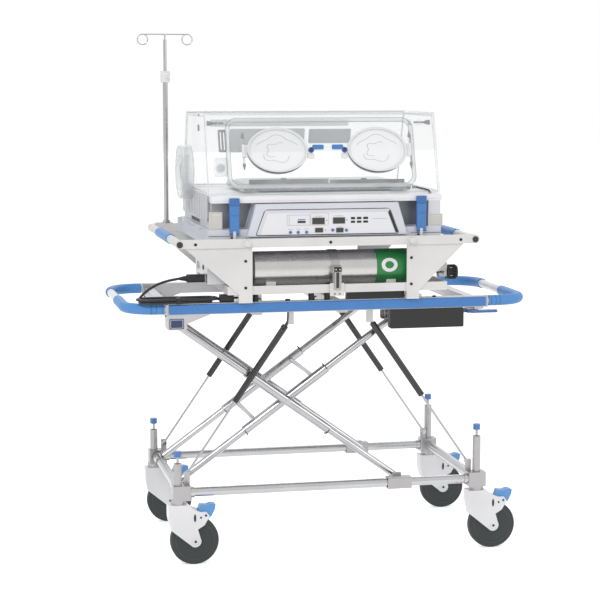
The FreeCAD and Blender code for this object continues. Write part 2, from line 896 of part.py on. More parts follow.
def loop_handles():
    solids = []
    for end in SIDES:
        bar, _, _ = pipe(loop_corners(end), loop_tube_r, loop_corner_r)
        solids.append(bar)
    write("loop_handles", solids)


def handle_grips():
    solids = []
    hollow = loop_tube_r + 0.05
    for end in SIDES:
        rail_end = platform_left if end < 0 else platform_right
        start_x = rail_end + end * (end_cap_t + grip_start_gap)
        for side, stop_y in ((-1, grip_front_end_y), (1, grip_back_end_y)):
            points = [(start_x, side * loop_y, loop_z), (end * loop_x, side * loop_y, loop_z),
                      (end * loop_x, stop_y, loop_z)]
            outer, _, _ = pipe(points, grip_r, loop_corner_r)
            inner, _, _ = pipe(points, hollow, loop_corner_r)
            solids.append(outer.cut(inner))
    for x in (carrier_left, carrier_right):
        start = (x, -carrier_grip_half, carrier_tube_z)
        stop = (x, carrier_grip_half, carrier_tube_z)
        solids.append(tube(start, stop, carrier_grip_r, carrier_grip_r - carrier_tube_r))
    write("handle_grips", solids)


def battery_box():
    body = box(battery_left, battery_right, -battery_outer_y, -battery_outer_y + battery_depth,
               battery_bottom, rail_bottom)
    write("battery_box", [rounded(body, 5.0, Y_AXIS)])


def release_lever():
    low = lever_top_z - lever_disc_t
    disc = rod((lever_x, lever_y, low), (lever_x, lever_y, lever_top_z), lever_disc_r)
    arm = box(lever_x, lever_x + lever_arm_length, lever_y - lever_arm_width / 2,
              lever_y + lever_arm_width / 2, low - 4, low + 4)
    arm = rounded(arm, 8.0, Z_AXIS)
    hole = rod((lever_x, lever_y, low - 10), (lever_x, lever_y, lever_top_z + 10),
               lever_pin_r + pin_gap)
    write("release_lever", [fused([disc, arm]).cut(hole)])


# Gas struts

def struts(tag, end):
    bodies = []
    rods = []
    for side in SIDES:
        y = side * strut_y
        top = Vector(end * strut_top_x, y, strut_top_z)
        low = Vector(end * strut_low_x, y, strut_low_z)
        along = (low - top).normalize()
        eye = rod((top.x, y - strut_eye_width / 2, top.z), (top.x, y + strut_eye_width / 2, top.z),
                  strut_eye_r)
        neck_end = top + along * strut_neck
        body_end = neck_end + along * strut_length
        neck = rod(top, neck_end, 5.0)
        barrel = rod(neck_end, body_end, strut_r)
        body = fused([eye, neck, barrel])
        body = body.cut(rod((top.x, y - 20, top.z), (top.x, y + 20, top.z), strut_pin_r + pin_gap))
        bore_start = neck_end + along * 6
        body = body.cut(rod(bore_start, body_end + along * 2, strut_rod_r + slide_gap))
        bodies.append(body)
        inside = strut_length - (strut_open - strut_shut) - strut_end_play
        shaft = rod(body_end - along * inside, low, strut_rod_r)
        end_eye = rod((low.x, y - strut_eye_width / 2, low.z), (low.x, y + strut_eye_width / 2, low.z),
                      strut_eye_r)
        rods.append(fused([shaft, end_eye]))
    write("strut_cylinders_" + tag, bodies)
    write("strut_rods_" + tag, rods)


# Carrier frame

def carrier_frame():
    solids = []
    for side in SIDES:
        outer = side * bar_outer_y
        inner = side * bar_inner_y
        ends = (carrier_left - carrier_tube_r, carrier_right + carrier_tube_r)
        bar = box(ends[0], ends[1], outer, inner, bar_bottom, bar_top)
        bar = rounded(bar, 12.0, Y_AXIS)
        solids.append(bar)
        p0 = side * plate_outer_y
        p1 = side * (plate_outer_y - plate_t)
        foot_top = rail_top + plate_foot_h
        for near, far, tip in (plate_left, plate_right):
            outline = [(tip, bar_bottom), (far, foot_top + 14), (far, foot_top), (near, foot_top),
                       (near, bar_bottom)]
            solids.append(profile_xz(outline, p0, p1))
            solids.append(box(near, far, p0, p0 - side * plate_foot_y, rail_top, foot_top))
        wall_outer = side * (plate_outer_y - plate_t)
        solids.append(box(tray_left, tray_right, wall_outer, wall_outer - side * tray_wall,
                          tray_bottom, tray_top))
    for x in (carrier_left, carrier_right):
        solids.append(tube((x, -bar_inner_y, carrier_tube_z), (x, bar_inner_y, carrier_tube_z),
                           carrier_tube_r, tube_wall))
    wall_y = plate_outer_y - plate_t - tray_wall
    floor = box(tray_left, tray_right, -wall_y, wall_y, tray_bottom, tray_bottom + tray_wall)
    solids.append(floor)
    for x0, x1 in ((tray_left, tray_left + tray_wall), (tray_right - tray_wall, tray_right)):
        solids.append(box(x0, x1, -wall_y, wall_y, tray_bottom + tray_wall, tray_top))
    for x in knob_places:
        start = (x, -bar_outer_y, carrier_tube_z)
        stop = (x, -bar_outer_y - knob_reach, carrier_tube_z)
        knob = cone(start, stop, knob_r, knob_r - 2.5)
        solids.append(knob)
    bracket = box(pole_x - 36, pole_x + 20, bar_inner_y, bar_outer_y + knob_reach,
                  bar_top, bar_top + 3)
    solids.append(bracket)
    saddle_seat = tray_bottom + tray_wall
    for x in saddle_places:
        saddle = box(x - saddle_x / 2, x + saddle_x / 2, cylinder_y - 40, cylinder_y + 40,
                     saddle_seat, cylinder_z - cylinder_r + 18)
        solids.append(saddle.cut(rod((x - 50, cylinder_y, cylinder_z), (x + 50, cylinder_y, cylinder_z),
                                     cylinder_r)))
    write("carrier_frame", solids)


def docking_feet():
    solids = []
    for side in SIDES:
        for x in foot_places:
            y = side * foot_y
            solids.append(rod((x, y, rail_top), (x, y, tray_bottom), foot_r))
        lock = box(lock_left, lock_right, side * rail_outer_y, side * rail_inner_y,
                   rail_top, tray_bottom)
        solids.append(lock)
    write("docking_feet", solids)


def power_module():
    outer = box(module_left, module_right, module_front_y, module_back_y, module_bottom, module_top)
    outer = rounded(outer, 4.0, X_AXIS)
    w = module_wall
    core = box(module_left + w, module_right - w, module_front_y + w, module_back_y - w,
               module_bottom + w, module_top - w)
    body = outer.cut(core)
    inlet = box(module_left - inlet_depth, module_left, inlet_y - inlet_width / 2,
                inlet_y + inlet_width / 2, inlet_z - inlet_height / 2, inlet_z + inlet_height / 2)
    solids = [body, inlet]
    for y, z in socket_places:
        socket = tube((module_left, y, z), (module_left - inlet_depth, y, z), socket_r, 3.5)
        solids.append(socket)
    stand_foot = tray_bottom + tray_wall
    for x in (module_left + stand_inset_left, module_right - stand_inset_right):
        for y in (module_front_y + stand_inset_y, module_back_y - stand_inset_y):
            solids.append(rod((x, y, stand_foot), (x, y, module_bottom), stand_r))
    write("power_module", solids)


# Oxygen cylinder

def oxygen_cylinder():
    c = (cylinder_y, cylinder_z)
    shoulder_length = cylinder_neck_x - cylinder_shoulder
    profile = [(cylinder_left, 0), (cylinder_left, cylinder_r - 8), (cylinder_left + 8, cylinder_r),
               (cylinder_shoulder, cylinder_r)]
    steps = 6
    for i in range(1, steps + 1):
        angle = math.radians(90 * i / steps)
        x = cylinder_shoulder + shoulder_length * math.sin(angle)
        r = cylinder_neck_r + (cylinder_r - cylinder_neck_r) * math.cos(angle)
        profile.append((x, r))
    profile.append((cylinder_end_x, cylinder_neck_r))
    profile.append((cylinder_end_x, 0))
    points = [Vector(x, c[0], c[1] + r) for x, r in profile]
    face = Part.Face(Part.makePolygon(points + points[:1]))
    write("oxygen_cylinder", [face.revolve(Vector(0, c[0], c[1]), X_AXIS, 360)])


def cylinder_valve():
    y = cylinder_y
    z = cylinder_z
    low = z - valve_drop
    body = rod((cylinder_end_x, y, z), (valve_end_x - 12, y, z), valve_body_r)
    half_y = valve_body_r - 2
    head = box(valve_end_x - 26, valve_end_x, y - half_y, y + half_y, low - 13, z + 8)
    gauge_x = cylinder_end_x + valve_gauge_r + 2 * seat_gap
    gauge = rod((gauge_x, y - 9, z), (gauge_x, y - valve_body_r - 14, z), valve_gauge_r)
    knob_end = valve_end_x + 1 + valve_knob_length
    spindle = rod((valve_end_x - 2, y, low), (knob_end, y, low), valve_spindle_r)
    outlet_x = valve_end_x - outlet_back
    outlet = rod((outlet_x, y - half_y + 2, low), (outlet_x, y - half_y - outlet_length, low), outlet_r)
    write("cylinder_valve", [body.fuse(head).fuse(gauge).fuse(spindle).fuse(outlet)])
    start = valve_end_x + 1
    wheel_a = rod((start, y, low), (start + 8, y, low), valve_knob_r)
    waist = rod((start, y, low), (knob_end, y, low), valve_knob_r * 0.55)
    wheel_b = rod((knob_end - 8, y, low), (knob_end, y, low), valve_knob_r * 0.9)
    knob = fused([wheel_a, waist, wheel_b])
    bore = rod((start - 1, y, low), (knob_end + 1, y, low), valve_spindle_r + pin_gap)
    write("valve_knob", [knob.cut(bore)])


def cylinder_strap():
    y = cylinder_y
    z = cylinder_z
    x0 = strap_x - strap_width / 2
    x1 = strap_x + strap_width / 2
    inner = cylinder_r + seat_gap / 3
    band = tube((x0, y, z), (x1, y, z), inner + strap_t, strap_t)
    front = -strap_plate_y
    back = front + strap_plate_t
    plate = box(x0, x1, front, back, tray_top - 20, z - 40)
    hook = box(x0, x1, back, y - inner - strap_t + 1.5, z - 12, z + 12)
    hook = hook.cut(rod((x0 - 1, y, z), (x1 + 1, y, z), inner + 0.5))
    keeper = box(x0 + 2, x1 - 2, front - 1.5, back, z - 40, z - 30)
    upper = box(x0, x1, front, back, z - 40, z + 12)
    ear_z = latch_top_z
    ears = [box(strap_x + s * (latch_width / 2 + 1), strap_x + s * strap_width / 2,
                front - 10, front, ear_z - 6, ear_z + 6) for s in SIDES]
    strap = fused([band, plate, hook, upper, keeper] + ears)
    strap = strap.cut(rod((x0 - 1, front - 5, ear_z), (x1 + 1, front - 5, ear_z), latch_pin_r + pin_gap))
    saddle = box(x0 - 6, x1 + 6, y - 30, y + 30, tray_bottom + tray_wall, z - inner - strap_t + 4)
    saddle = saddle.cut(rod((x0 - 10, y, z), (x1 + 10, y, z), inner + strap_t))
    write("cylinder_strap", [strap, saddle])
    lever = box(strap_x - latch_width / 2, strap_x + latch_width / 2, front - 5 - latch_t / 2,
                front - 5 + latch_t / 2, ear_z - latch_length, ear_z)
    hub = rod((strap_x - latch_width / 2, front - 5, ear_z), (strap_x + latch_width / 2, front - 5, ear_z),
              4.5)
    pin = rod((x0 + 0.5, front - 5, ear_z), (x1 - 0.5, front - 5, ear_z), latch_pin_r)
    write("strap_latch", [fused([lever, hub, pin])])


# Incubator base

def base_shell():
    t = shell_wall
    y = shell_half_y
    solids = [box(shell_left, shell_right, -y, y, shell_bottom, shell_bottom + t)]
    low = shell_bottom + t
    high = ledge_z - t
    for side in SIDES:
        solids.append(box(shell_left, shell_right, side * y, side * (y - t), low, high))
    for x0, x1 in ((shell_left, shell_left + t), (shell_right - t, shell_right)):
        solids.append(box(x0, x1, -y + t, y - t, low, high))
    solids.append(box(shell_left, shell_right, -y, recess_y, high, ledge_z))
    solids.append(box(shell_left, shell_right, y - t, y, high, ledge_z))
    solids.append(box(shell_left, body_left + t, recess_y, y - t, high, ledge_z))
    solids.append(box(body_right - t, shell_right, recess_y, y - t, high, ledge_z))
    solids.append(box(body_left, body_right, recess_y, recess_y + t, ledge_z, deck_bottom))
    solids.append(box(body_left, body_right, y - t, y, ledge_z, deck_bottom))
    for x0, x1 in ((body_left, body_left + t), (body_right - t, body_right)):
        solids.append(box(x0, x1, recess_y + t, y - t, ledge_z, deck_bottom))
    solids.append(box(pillar_left, body_right, -y, recess_y, ledge_z, deck_bottom))
    outer = [(console_low_left, console_bottom), (console_top_left, console_top),
             (console_top_right, console_top), (console_low_right, console_bottom)]
    console = profile_xz(outer, console_front_y, -y)
    bulk_low = console_low_left + (console_top_left - console_low_left) * \
        (ledge_z - console_bottom) / (console_top - console_bottom)
    bulk_high = console_low_right + (console_top_right - console_low_right) * \
        (ledge_z - console_bottom) / (console_top - console_bottom)
    behind = [(bulk_low, ledge_z), outer[1], outer[2], (bulk_high, ledge_z)]
    bulk = profile_xz(behind, -y, recess_y)
    middle = (console_low_left + console_low_right) / 2
    room = [(middle + (x - middle) * console_room,
             z + (console_floor_t if z < console_top else -console_roof_t)) for x, z in behind]
    bulk = bulk.cut(profile_xz(room, -y + console_wall_t, recess_y))
    solids.extend([console, bulk])
    solids.append(box(service_left, shell_left, -service_half_y, service_half_y, service_bottom,
                      service_top))
    for side in SIDES:
        post_y = side * service_half_y
        post = box(service_left - service_post_x, service_left, post_y - side * service_post_y, post_y,
                   service_bottom, service_top + 10)
        solids.append(post)
    foot_top = shell_bottom
    for side in SIDES:
        cradle = box(shell_left + 30, shell_right - 30, side * (bar_inner_y), side * (y - 30),
                     foot_top - 6, foot_top)
        solids.append(cradle)
    motor = rod((fan_x, fan_y, low), (fan_x, fan_y, low + motor_height), motor_r)
    shaft = rod((fan_x, fan_y, low), (fan_x, fan_y, low + motor_height + fan_height + 6), fan_shaft_r)
    solids.append(fused([motor, shaft]))
    solids.append(heater(low))
    solids.extend(clamp_lugs())
    write("base_shell", solids)


def heater(floor_z):
    """Sheathed heating element bent to and fro, on two end strips."""
    z = floor_z + 24
    points = []
    y = -heater_pitch * (heater_turns - 1) / 2
    for i in range(heater_turns):
        near, far = (0, heater_length) if i % 2 == 0 else (heater_length, 0)
        points.append((heater_x + near, y, z))
        points.append((heater_x + far, y, z))
        y += heater_pitch
    element, _, _ = pipe(points, heater_r, heater_pitch / 2 - 0.5)
    strips = [box(heater_x + dx, heater_x + dx + 8, points[0][1] - 10, points[-1][1] + 10,
                  floor_z, z) for dx in (heater_strip_first, heater_strip_last)]
    return fused([element] + strips)


def shell_deck():
    y = shell_half_y
    inner = slot_y - slot_width / 2
    outer = slot_y + slot_width / 2
    solids = [box(deck_left, deck_right, -inner, inner, deck_bottom, deck_top)]
    for side in SIDES:
        solids.append(box(deck_left, deck_right, side * outer, side * y, deck_bottom, deck_top))
        for end, x in ((-1, deck_left), (1, deck_right)):
            solids.append(box(x, end * slot_half_x, side * inner, side * outer, deck_bottom, deck_top))
        gasket = [box(deck_left, deck_right, side * (hood_low_half_y - 8), side * hood_low_half_y,
                      deck_top, hood_bottom - 0.1)]
        solids.extend(gasket)
    for x in (tray_m_left + 40, tray_m_right - 40):
        for side in SIDES:
            solids.append(box(x - 12, x + 12, side * (tray_m_half_y - 40), side * (tray_m_half_y - 10),
                              deck_top, tray_m_bottom))
    write("shell_deck", solids)


def control_panel():
    low = console_bottom + panel_low_inset
    top = console_top - panel_top_inset
    outline = [(console_low_left + panel_side, low), (console_top_left + panel_side, top),
               (console_top_right - panel_side, top), (console_low_right - panel_side, low)]
    plate = profile_xz(outline, console_front_y - panel_t, console_front_y)
    write("control_panel", [rounded(plate, 5.0, Y_AXIS)])


def fan_impeller():
    low = shell_bottom + shell_wall + motor_height + 2
    disc = rod((fan_x, fan_y, low), (fan_x, fan_y, low + 2), fan_r)
    hub = rod((fan_x, fan_y, low), (fan_x, fan_y, low + fan_height), fan_hub_r)
    blades = []
    for i in range(fan_blades):
        blade = box(fan_x + 24, fan_x + fan_r - 1, fan_y - 1, fan_y + 1, low + 1, low + fan_height)
        blade.rotate(Vector(fan_x, fan_y, 0), Z_AXIS, 360 * i / fan_blades)
        blades.append(blade)
    wheel = fused([disc, hub] + blades)
    bore = rod((fan_x, fan_y, low - 1), (fan_x, fan_y, low + fan_height + 1), fan_shaft_r + pin_gap)
    write("fan_impeller", [wheel.cut(bore)])


# Hood. The front wall's pieces are made flat: x along the hood, v up the slope, n outward

front_place = Placement(Vector(0, -hood_low_half_y, hood_bottom), Rotation(X_AXIS, 90 - hood_tilt))


def on_front(shape):
    placed = shape.copy()
    placed.transformShape(front_place.toMatrix(), True)
    return placed


def oval(centre_x, centre_v, half_x, half_v, n0, n1):
    ellipse = Part.Ellipse(Vector(centre_x, centre_v, n0), half_x, half_v)
    return Part.Face(Part.Wire([ellipse.toShape()])).extrude(Vector(0, 0, n1 - n0))


def hood_shell():
    t = hood_wall
    solids = []
    low_y = hood_low_half_y
    top_y = hood_top_half_y
    slope_t = t / math.cos(math.radians(hood_tilt))
    solids.append(box(hood_left + t, hood_right - t, -top_y + slope_t, top_y - slope_t, hood_top - t, hood_top))
    back = [(low_y - slope_t, hood_bottom), (low_y, hood_bottom), (top_y, hood_top),
            (top_y - slope_t, hood_top)]
    solids.append(prism([(hood_left + t, y, z) for y, z in back], (hood_right - hood_left - 2 * t, 0, 0)))
    for x, skirt_z in ((hood_left, skirt_left_z), (hood_right - t, skirt_right_z)):
        panel = prism([(x, -low_y, hood_bottom), (x, low_y, hood_bottom), (x, top_y, hood_top),
                       (x, -top_y, hood_top)], (t, 0, 0))
        if x == hood_left:
            panel = panel.cut(rod((x - 1, iris_y, iris_z), (x + t + 1, iris_y, iris_z), iris_hole_r))
        skirt = box(x, x + t, -low_y, low_y, skirt_z, hood_bottom)
        solids.append(fused([panel, skirt]))
    x0 = hood_left + t
    x1 = hood_right - t
    lowest = hood_wall * math.tan(math.radians(hood_tilt))
    bars = [(x0, x1, lowest, frame_low), (x0, x1, frame_high, hood_slant),
            (x0, frame_left, frame_low, frame_high), (frame_right, x1, frame_low, frame_high)]
    for a, b, v0, v1 in bars:
        solids.append(on_front(box(a, b, v0, v1, -t, 0)))
    for side, edge in ((-1, door_left), (1, door_right)):
        near = edge + side * bolt_block_gap
        block = box(near, near + side * bolt_block_x, bolt_v - 9, bolt_v + 9, 0, bolt_n + 6)
        bore = rod((near - 60, bolt_v, bolt_n), (near + 60, bolt_v, bolt_n), bolt_rod_r + slide_gap)
        solids.append(on_front(block.cut(bore)))
    for x in (door_left + door_hinge_inset, door_right - door_hinge_inset):
        for s in SIDES:
            knuckle = rod((x + s * 11, door_low - 8, 6), (x + s * 26, door_low - 8, 6), door_knuckle_r)
            base = box(x + s * 11, x + s * 26, door_low - 8 - door_knuckle_r, door_low - 8, 0, 6)
            solids.append(on_front(fused([knuckle, base]).cut(
                rod((x - 40, door_low - 8, 6), (x + 40, door_low - 8, 6), door_pin_r))))
        solids.append(on_front(rod((x - 26, door_low - 8, 6), (x + 26, door_low - 8, 6), door_pin_r)))
    write("hood_shell", solids)


def front_door():
    n0 = door_lift
    n1 = door_lift + door_t
    panel = box(door_left, door_right, door_low, door_high, n0, n1)
    panel = rounded(panel, door_corner_r, Z_AXIS)
    for side in SIDES:
        panel = panel.cut(oval(side * port_centre_x, port_centre_v, port_hole_half_x, port_hole_half_v,
                               n0 - 1, n1 + 1))
    parts = [panel]
    for x in (door_left + door_hinge_inset, door_right - door_hinge_inset):
        knuckle = rod((x - 10.5, door_low - 8, 6), (x + 10.5, door_low - 8, 6), door_knuckle_r)
        leaf = box(x - 10.5, x + 10.5, door_low - 8, door_low + 14, 3, 9)
        leaf = fused([leaf, knuckle]).cut(rod((x - 40, door_low - 8, 6), (x + 40, door_low - 8, 6),
                                              door_pin_r + pin_gap))
        parts.append(leaf)
    door = [on_front(fused(parts))]
    room = bolt_rod_r + slide_gap
    for side, edge in ((-1, door_left), (1, door_right)):
        inner = edge - side * keeper_x
        outer = edge - side * keeper_inset
        cheek_top = bolt_n + room
        for up in SIDES:
            cheek = box(outer, inner, bolt_v + up * room, bolt_v + up * keeper_half_v, n1, cheek_top)
            door.append(on_front(cheek))
        cap = box(outer, inner, bolt_v - keeper_half_v, bolt_v + keeper_half_v, cheek_top,
                  cheek_top + keeper_cap_t)
        door.append(on_front(cap))
    for side in SIDES:
        hx = side * (port_centre_x + port_hinge_out)
        for v0, v1 in ((-port_hinge_half, -port_hinge_half / 2), (port_hinge_half / 2, port_hinge_half)):
            knuckle = rod((hx, port_centre_v + v0, n1 + port_knuckle_r + 0.5),
                          (hx, port_centre_v + v1, n1 + port_knuckle_r + 0.5), port_knuckle_r)
            base = box(hx - port_knuckle_r, hx + port_knuckle_r, port_centre_v + v0, port_centre_v + v1,
                       n1, n1 + port_knuckle_r)
            knuckle = fused([knuckle, base]).cut(rod((hx, 0, n1 + port_knuckle_r + 0.5),
                                                     (hx, hood_slant, n1 + port_knuckle_r + 0.5),
                                                     port_pin_r))
            door.append(on_front(knuckle))
        pin = rod((hx, port_centre_v - port_hinge_half, n1 + port_knuckle_r + 0.5),
                  (hx, port_centre_v + port_hinge_half, n1 + port_knuckle_r + 0.5), port_pin_r)
        door.append(on_front(pin))
        lx = side * latch_pivot_x
        base = rod((lx, port_centre_v, n1), (lx, port_centre_v, n1 + 6), port_latch_r)
        stud = rod((lx, port_centre_v, n1), (lx, port_centre_v, n1 + 14), port_latch_pin_r)
        door.append(on_front(fused([base, stud])))
    write("front_door", door)


def port_door(tag, side):
    n1 = door_lift + door_t + seat_gap
    cx = side * port_centre_x
    pane = oval(cx, port_centre_v, port_half_x, port_half_v, n1, n1 + port_rim_h)
    pane = pane.cut(oval(cx, port_centre_v, port_half_x - port_rim, port_half_v - port_rim,
                         n1 + port_pane_t, n1 + port_rim_h + 1))
    hx = side * (port_centre_x + port_hinge_out)
    axis_n = door_lift + door_t + port_knuckle_r + 0.5
    reach = port_hinge_half / 2 - 0.5
    knuckle = rod((hx, port_centre_v - reach, axis_n), (hx, port_centre_v + reach, axis_n), port_knuckle_r)
    leaf = box(hx, side * (port_centre_x + port_half_x - port_rim - 1), port_centre_v - reach,
               port_centre_v + reach, n1 + 0.2, n1 + port_pane_t)
    door = pane.fuse(leaf).fuse(knuckle)
    door = door.cut(rod((hx, 0, axis_n), (hx, hood_slant, axis_n), port_pin_r + pin_gap))
    write("port_door_" + tag, [on_front(door)])


def port_latch(tag, side):
    n0 = door_lift + door_t + 6 + seat_gap
    lx = side * latch_pivot_x
    hub = rod((lx, port_centre_v, n0), (lx, port_centre_v, n0 + port_latch_t), port_latch_r)
    arm = box(lx, lx - side * port_latch_arm, port_centre_v - port_latch_r,
              port_centre_v + port_latch_r - 4, n0, n0 + port_latch_t)
    arm = rounded(arm, 3.0, Z_AXIS)
    catch_n = door_lift + door_t + port_rim_h + 2 * seat_gap + 0.4
    catch = box(lx - port_latch_catch_x / 2, lx + port_latch_catch_x / 2, port_centre_v,
                port_centre_v + port_latch_reach, catch_n, n0 + port_latch_t)
    latch = fused([hub, arm, catch])
    latch = latch.cut(rod((lx, port_centre_v, 0), (lx, port_centre_v, 60), port_latch_pin_r + pin_gap))
    write("port_latch_" + tag, [on_front(latch)])


def door_bolt(tag, side):
    """Bolt drawn back clear of the door. It slides inward into the door's keeper."""
    edge = door_right if side > 0 else door_left
    tip = edge + side * bolt_tip_gap
    block_outer = edge + side * (bolt_block_gap + bolt_block_x)
    knob_inner = block_outer + side * (bolt_travel + 1)
    knob_outer = knob_inner + side * bolt_knob_length
    shaft = rod((tip, bolt_v, bolt_n), (knob_outer, bolt_v, bolt_n), bolt_rod_r)
    knob = cone((knob_inner, bolt_v, bolt_n), (knob_outer, bolt_v, bolt_n), bolt_knob_r * 0.7, bolt_knob_r)
    write("door_bolt_" + tag, [on_front(fused([shaft, knob]))])


def iris_ring():
    x0 = hood_left - seat_gap
    x1 = hood_left - iris_length
    ring = rod((x0, iris_y, iris_z), (x1, iris_y, iris_z), iris_outer_r)
    ring = ring.makeFillet(8.0, [e for e in ring.Edges if abs(e.CenterOfMass.x - x1) < 0.01
                                 and abs(e.Length - 2 * math.pi * iris_outer_r) < 1])
    ring = ring.cut(rod((x0 + 1, iris_y, iris_z), (x1 - 1, iris_y, iris_z), iris_inner_r))
    base_x = x0 - iris_sleeve_inset
    tip_x = x1 + iris_tip_inset
    skin = cone((base_x, iris_y, iris_z), (tip_x, iris_y, iris_z), iris_inner_r + 1, iris_mouth_r + 2)
    inner = cone((base_x + 1, iris_y, iris_z), (tip_x - 1, iris_y, iris_z), iris_inner_r - 1,
                 iris_mouth_r)
    write("iris_ring", [fused([ring, skin.cut(inner)])])


def hood_clamp(tag, x):
    y0 = -shell_half_y - clamp_gap
    y1 = y0 - clamp_t
    body = box(x - clamp_width / 2, x + clamp_width / 2, y0, y1, clamp_low + 6, clamp_top)
    body = body.makeFillet(3.0, [e for e in body.Edges if abs(e.CenterOfMass.y - y1) < 0.01])
    hub_y = y0 - clamp_t / 2
    hub = rod((x - clamp_width / 2, hub_y, clamp_low + 6), (x + clamp_width / 2, hub_y, clamp_low + 6),
              clamp_t / 2)
    slot = box(x - 5, x + 5, y0 + 1, y1 - 1, clamp_low - 6, clamp_low + 14)
    clamp = fused([body, hub]).cut(slot)
    clamp = clamp.cut(rod((x - 30, hub_y, clamp_low + 6), (x + 30, hub_y, clamp_low + 6),
                          clamp_pin_r + pin_gap))
    write("hood_clamp_" + tag, [clamp])


def clamp_lugs():
    """Lug and pin that carry each clamp on the shell's front."""
    solids = []
    for x in clamp_places:
        hub_y = -shell_half_y - clamp_gap - clamp_t / 2
        lug = box(x - 4.6, x + 4.6, -shell_half_y, hub_y - 5, clamp_low - 8, clamp_low + 11)
        pin = rod((x - clamp_width / 2, hub_y, clamp_low + 6), (x + clamp_width / 2, hub_y, clamp_low + 6),
                  clamp_pin_r)
        solids.append(fused([lug, pin]))
    return solids


# Mattress

def mattress_tray():
    t = tray_m_wall
    a, b = tray_m_left, tray_m_right
    y = tray_m_half_y
    solids = [box(a, b, -y, y, tray_m_bottom, tray_m_bottom + t)]
    for side in SIDES:
        solids.append(box(a, b, side * y, side * (y - t), tray_m_bottom + t, tray_m_top))
    solids.append(box(a, a + t, -y + t, y - t, tray_m_bottom + t, tray_m_top))
    solids.append(box(b - t, b, -y + t, y - t, tray_m_bottom + t, tray_m_top))
    write("mattress_tray", solids)


def mattress():
    g = tray_m_wall + mattress_inset
    low = tray_m_bottom + tray_m_wall + seat_gap
    pad = box(tray_m_left + g, tray_m_right - g, -tray_m_half_y + g, tray_m_half_y - g,
              low, low + mattress_h)
    write("mattress", [rounded(pad, 14.0, Z_AXIS)])


# Infusion pole

def iv_pole():
    foot = pole_foot_z + 3
    outer = rod((pole_x, pole_y, foot), (pole_x, pole_y, pole_top_z), pole_r)
    flange = rod((pole_x, pole_y, foot), (pole_x, pole_y, foot + 8), pole_r + 5)
    collar = rod((pole_x, pole_y, pole_collar_low), (pole_x, pole_y, pole_collar_high), pole_collar_r)
    bore = rod((pole_x, pole_y, foot + 8), (pole_x, pole_y, pole_collar_high + 1), pole_inner_r + slide_gap)
    write("iv_pole", [fused([outer, flange, collar]).cut(bore)])


def iv_pole_inner():
    shaft = rod((pole_x, pole_y, pole_inner_low), (pole_x, pole_y, pole_inner_high), pole_inner_r)
    tip = rod((pole_x, pole_y, pole_inner_high), (pole_x, pole_y, hook_z), hook_r + 0.8)
    shapes = [shaft, tip]
    for end in SIDES:
        points = [(pole_x, pole_y, hook_z)]
        edge = pole_x + end * hook_half
        points.append((edge, pole_y, hook_z))
        shapes.append(rod(points[0], points[1], hook_r))
        centre = Vector(edge + end * 2, pole_y, hook_z - hook_loop_r)
        shapes.append(Part.makeTorus(hook_loop_r, hook_r, centre, Y_AXIS))
    write("iv_pole_inner", [fused(shapes)])


# Mains lead

def mains_lead():
    tube_solid, wire, radii = pipe(lead_points, lead_r)
    write("lead_tube", [tube_solid])
    print("lead radii", [round(r, 1) for r in radii])
    print("lead volume over section times length",
          round(tube_solid.Volume / (math.pi * lead_r ** 2 * wire.Length), 5), "length", round(wire.Length, 1))
    x0 = module_left - inlet_depth
    body = box(x0, x0 - connector_length, inlet_y - 13, inlet_y + 13, inlet_z - 12, inlet_z + 12)
    body = rounded(body, 5.0, X_AXIS)
    relief_start = x0 - connector_length
    relief = cone((relief_start, inlet_y, inlet_z), (lead_points[0][0], inlet_y, inlet_z), 9.0, relief_tip_r)
    write("lead_plug", [fused([body, relief])])
    low = rail_top + 1.0 + seat_gap
    r = hank_half_y
    slab = box(hank_left, hank_right, hank_y - r, hank_y + r, low, low + hank_h)
    write("lead_hank", [rounded(slab, r - 0.5, Z_AXIS)])
    px = hank_right + 3
    plug_y = hank_y + plug_offset_y
    plug = box(px, px + wall_plug_length, plug_y - wall_plug_width / 2, plug_y + wall_plug_width / 2,
               low, low + wall_plug_height)
    plug = rounded(plug, 5.0, X_AXIS)
    pins = [rod((px + wall_plug_length, plug_y + s * plug_pin_half, low + wall_plug_height / 2),
                (px + wall_plug_length + plug_pin_length, plug_y + s * plug_pin_half,
                 low + wall_plug_height / 2), plug_pin_r) for s in SIDES]
    middle = low + hank_h / 2
    tail = cone((hank_right - hank_tail_in, plug_y, middle), (px + 1, plug_y, middle), lead_r, lead_r + 1.5)
    write("wall_plug", [fused([plug, tail] + pins)])


base_rails()
corner_blocks()
buffer_caps()
for corner, end_sign, side_sign in (("front_left", -1, -1), ("front_right", 1, -1),
                                    ("back_left", -1, 1), ("back_right", 1, 1)):
    caster(corner, end_sign, side_sign)
leg_a_frame()
leg_b_frame()
lower_sliders()
upper_sliders()
struts("left", -1)
struts("right", 1)
platform_frame()
rail_covers()
loop_handles()
handle_grips()
battery_box()
release_lever()
carrier_frame()
docking_feet()
power_module()
oxygen_cylinder()
cylinder_valve()
cylinder_strap()
base_shell()
shell_deck()
control_panel()
fan_impeller()
hood_shell()
front_door()
for name, sign in (("left", -1), ("right", 1)):
    port_door(name, sign)
    port_latch(name, sign)
    door_bolt(name, sign)
iris_ring()
hood_clamp("left", clamp_places[0])
hood_clamp("right", clamp_places[1])
mattress_tray()
mattress()
iv_pole()
iv_pole_inner()
mains_lead()
print("lift range degrees", round(math.degrees(angle_up - angle_down), 3))
print("strut open and shut", round(strut_open, 2), round(strut_shut, 2))
print("slider run", round(slider_run, 2))
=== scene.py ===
import math

import bmesh
import bpy
from mathutils import Matrix, Vector


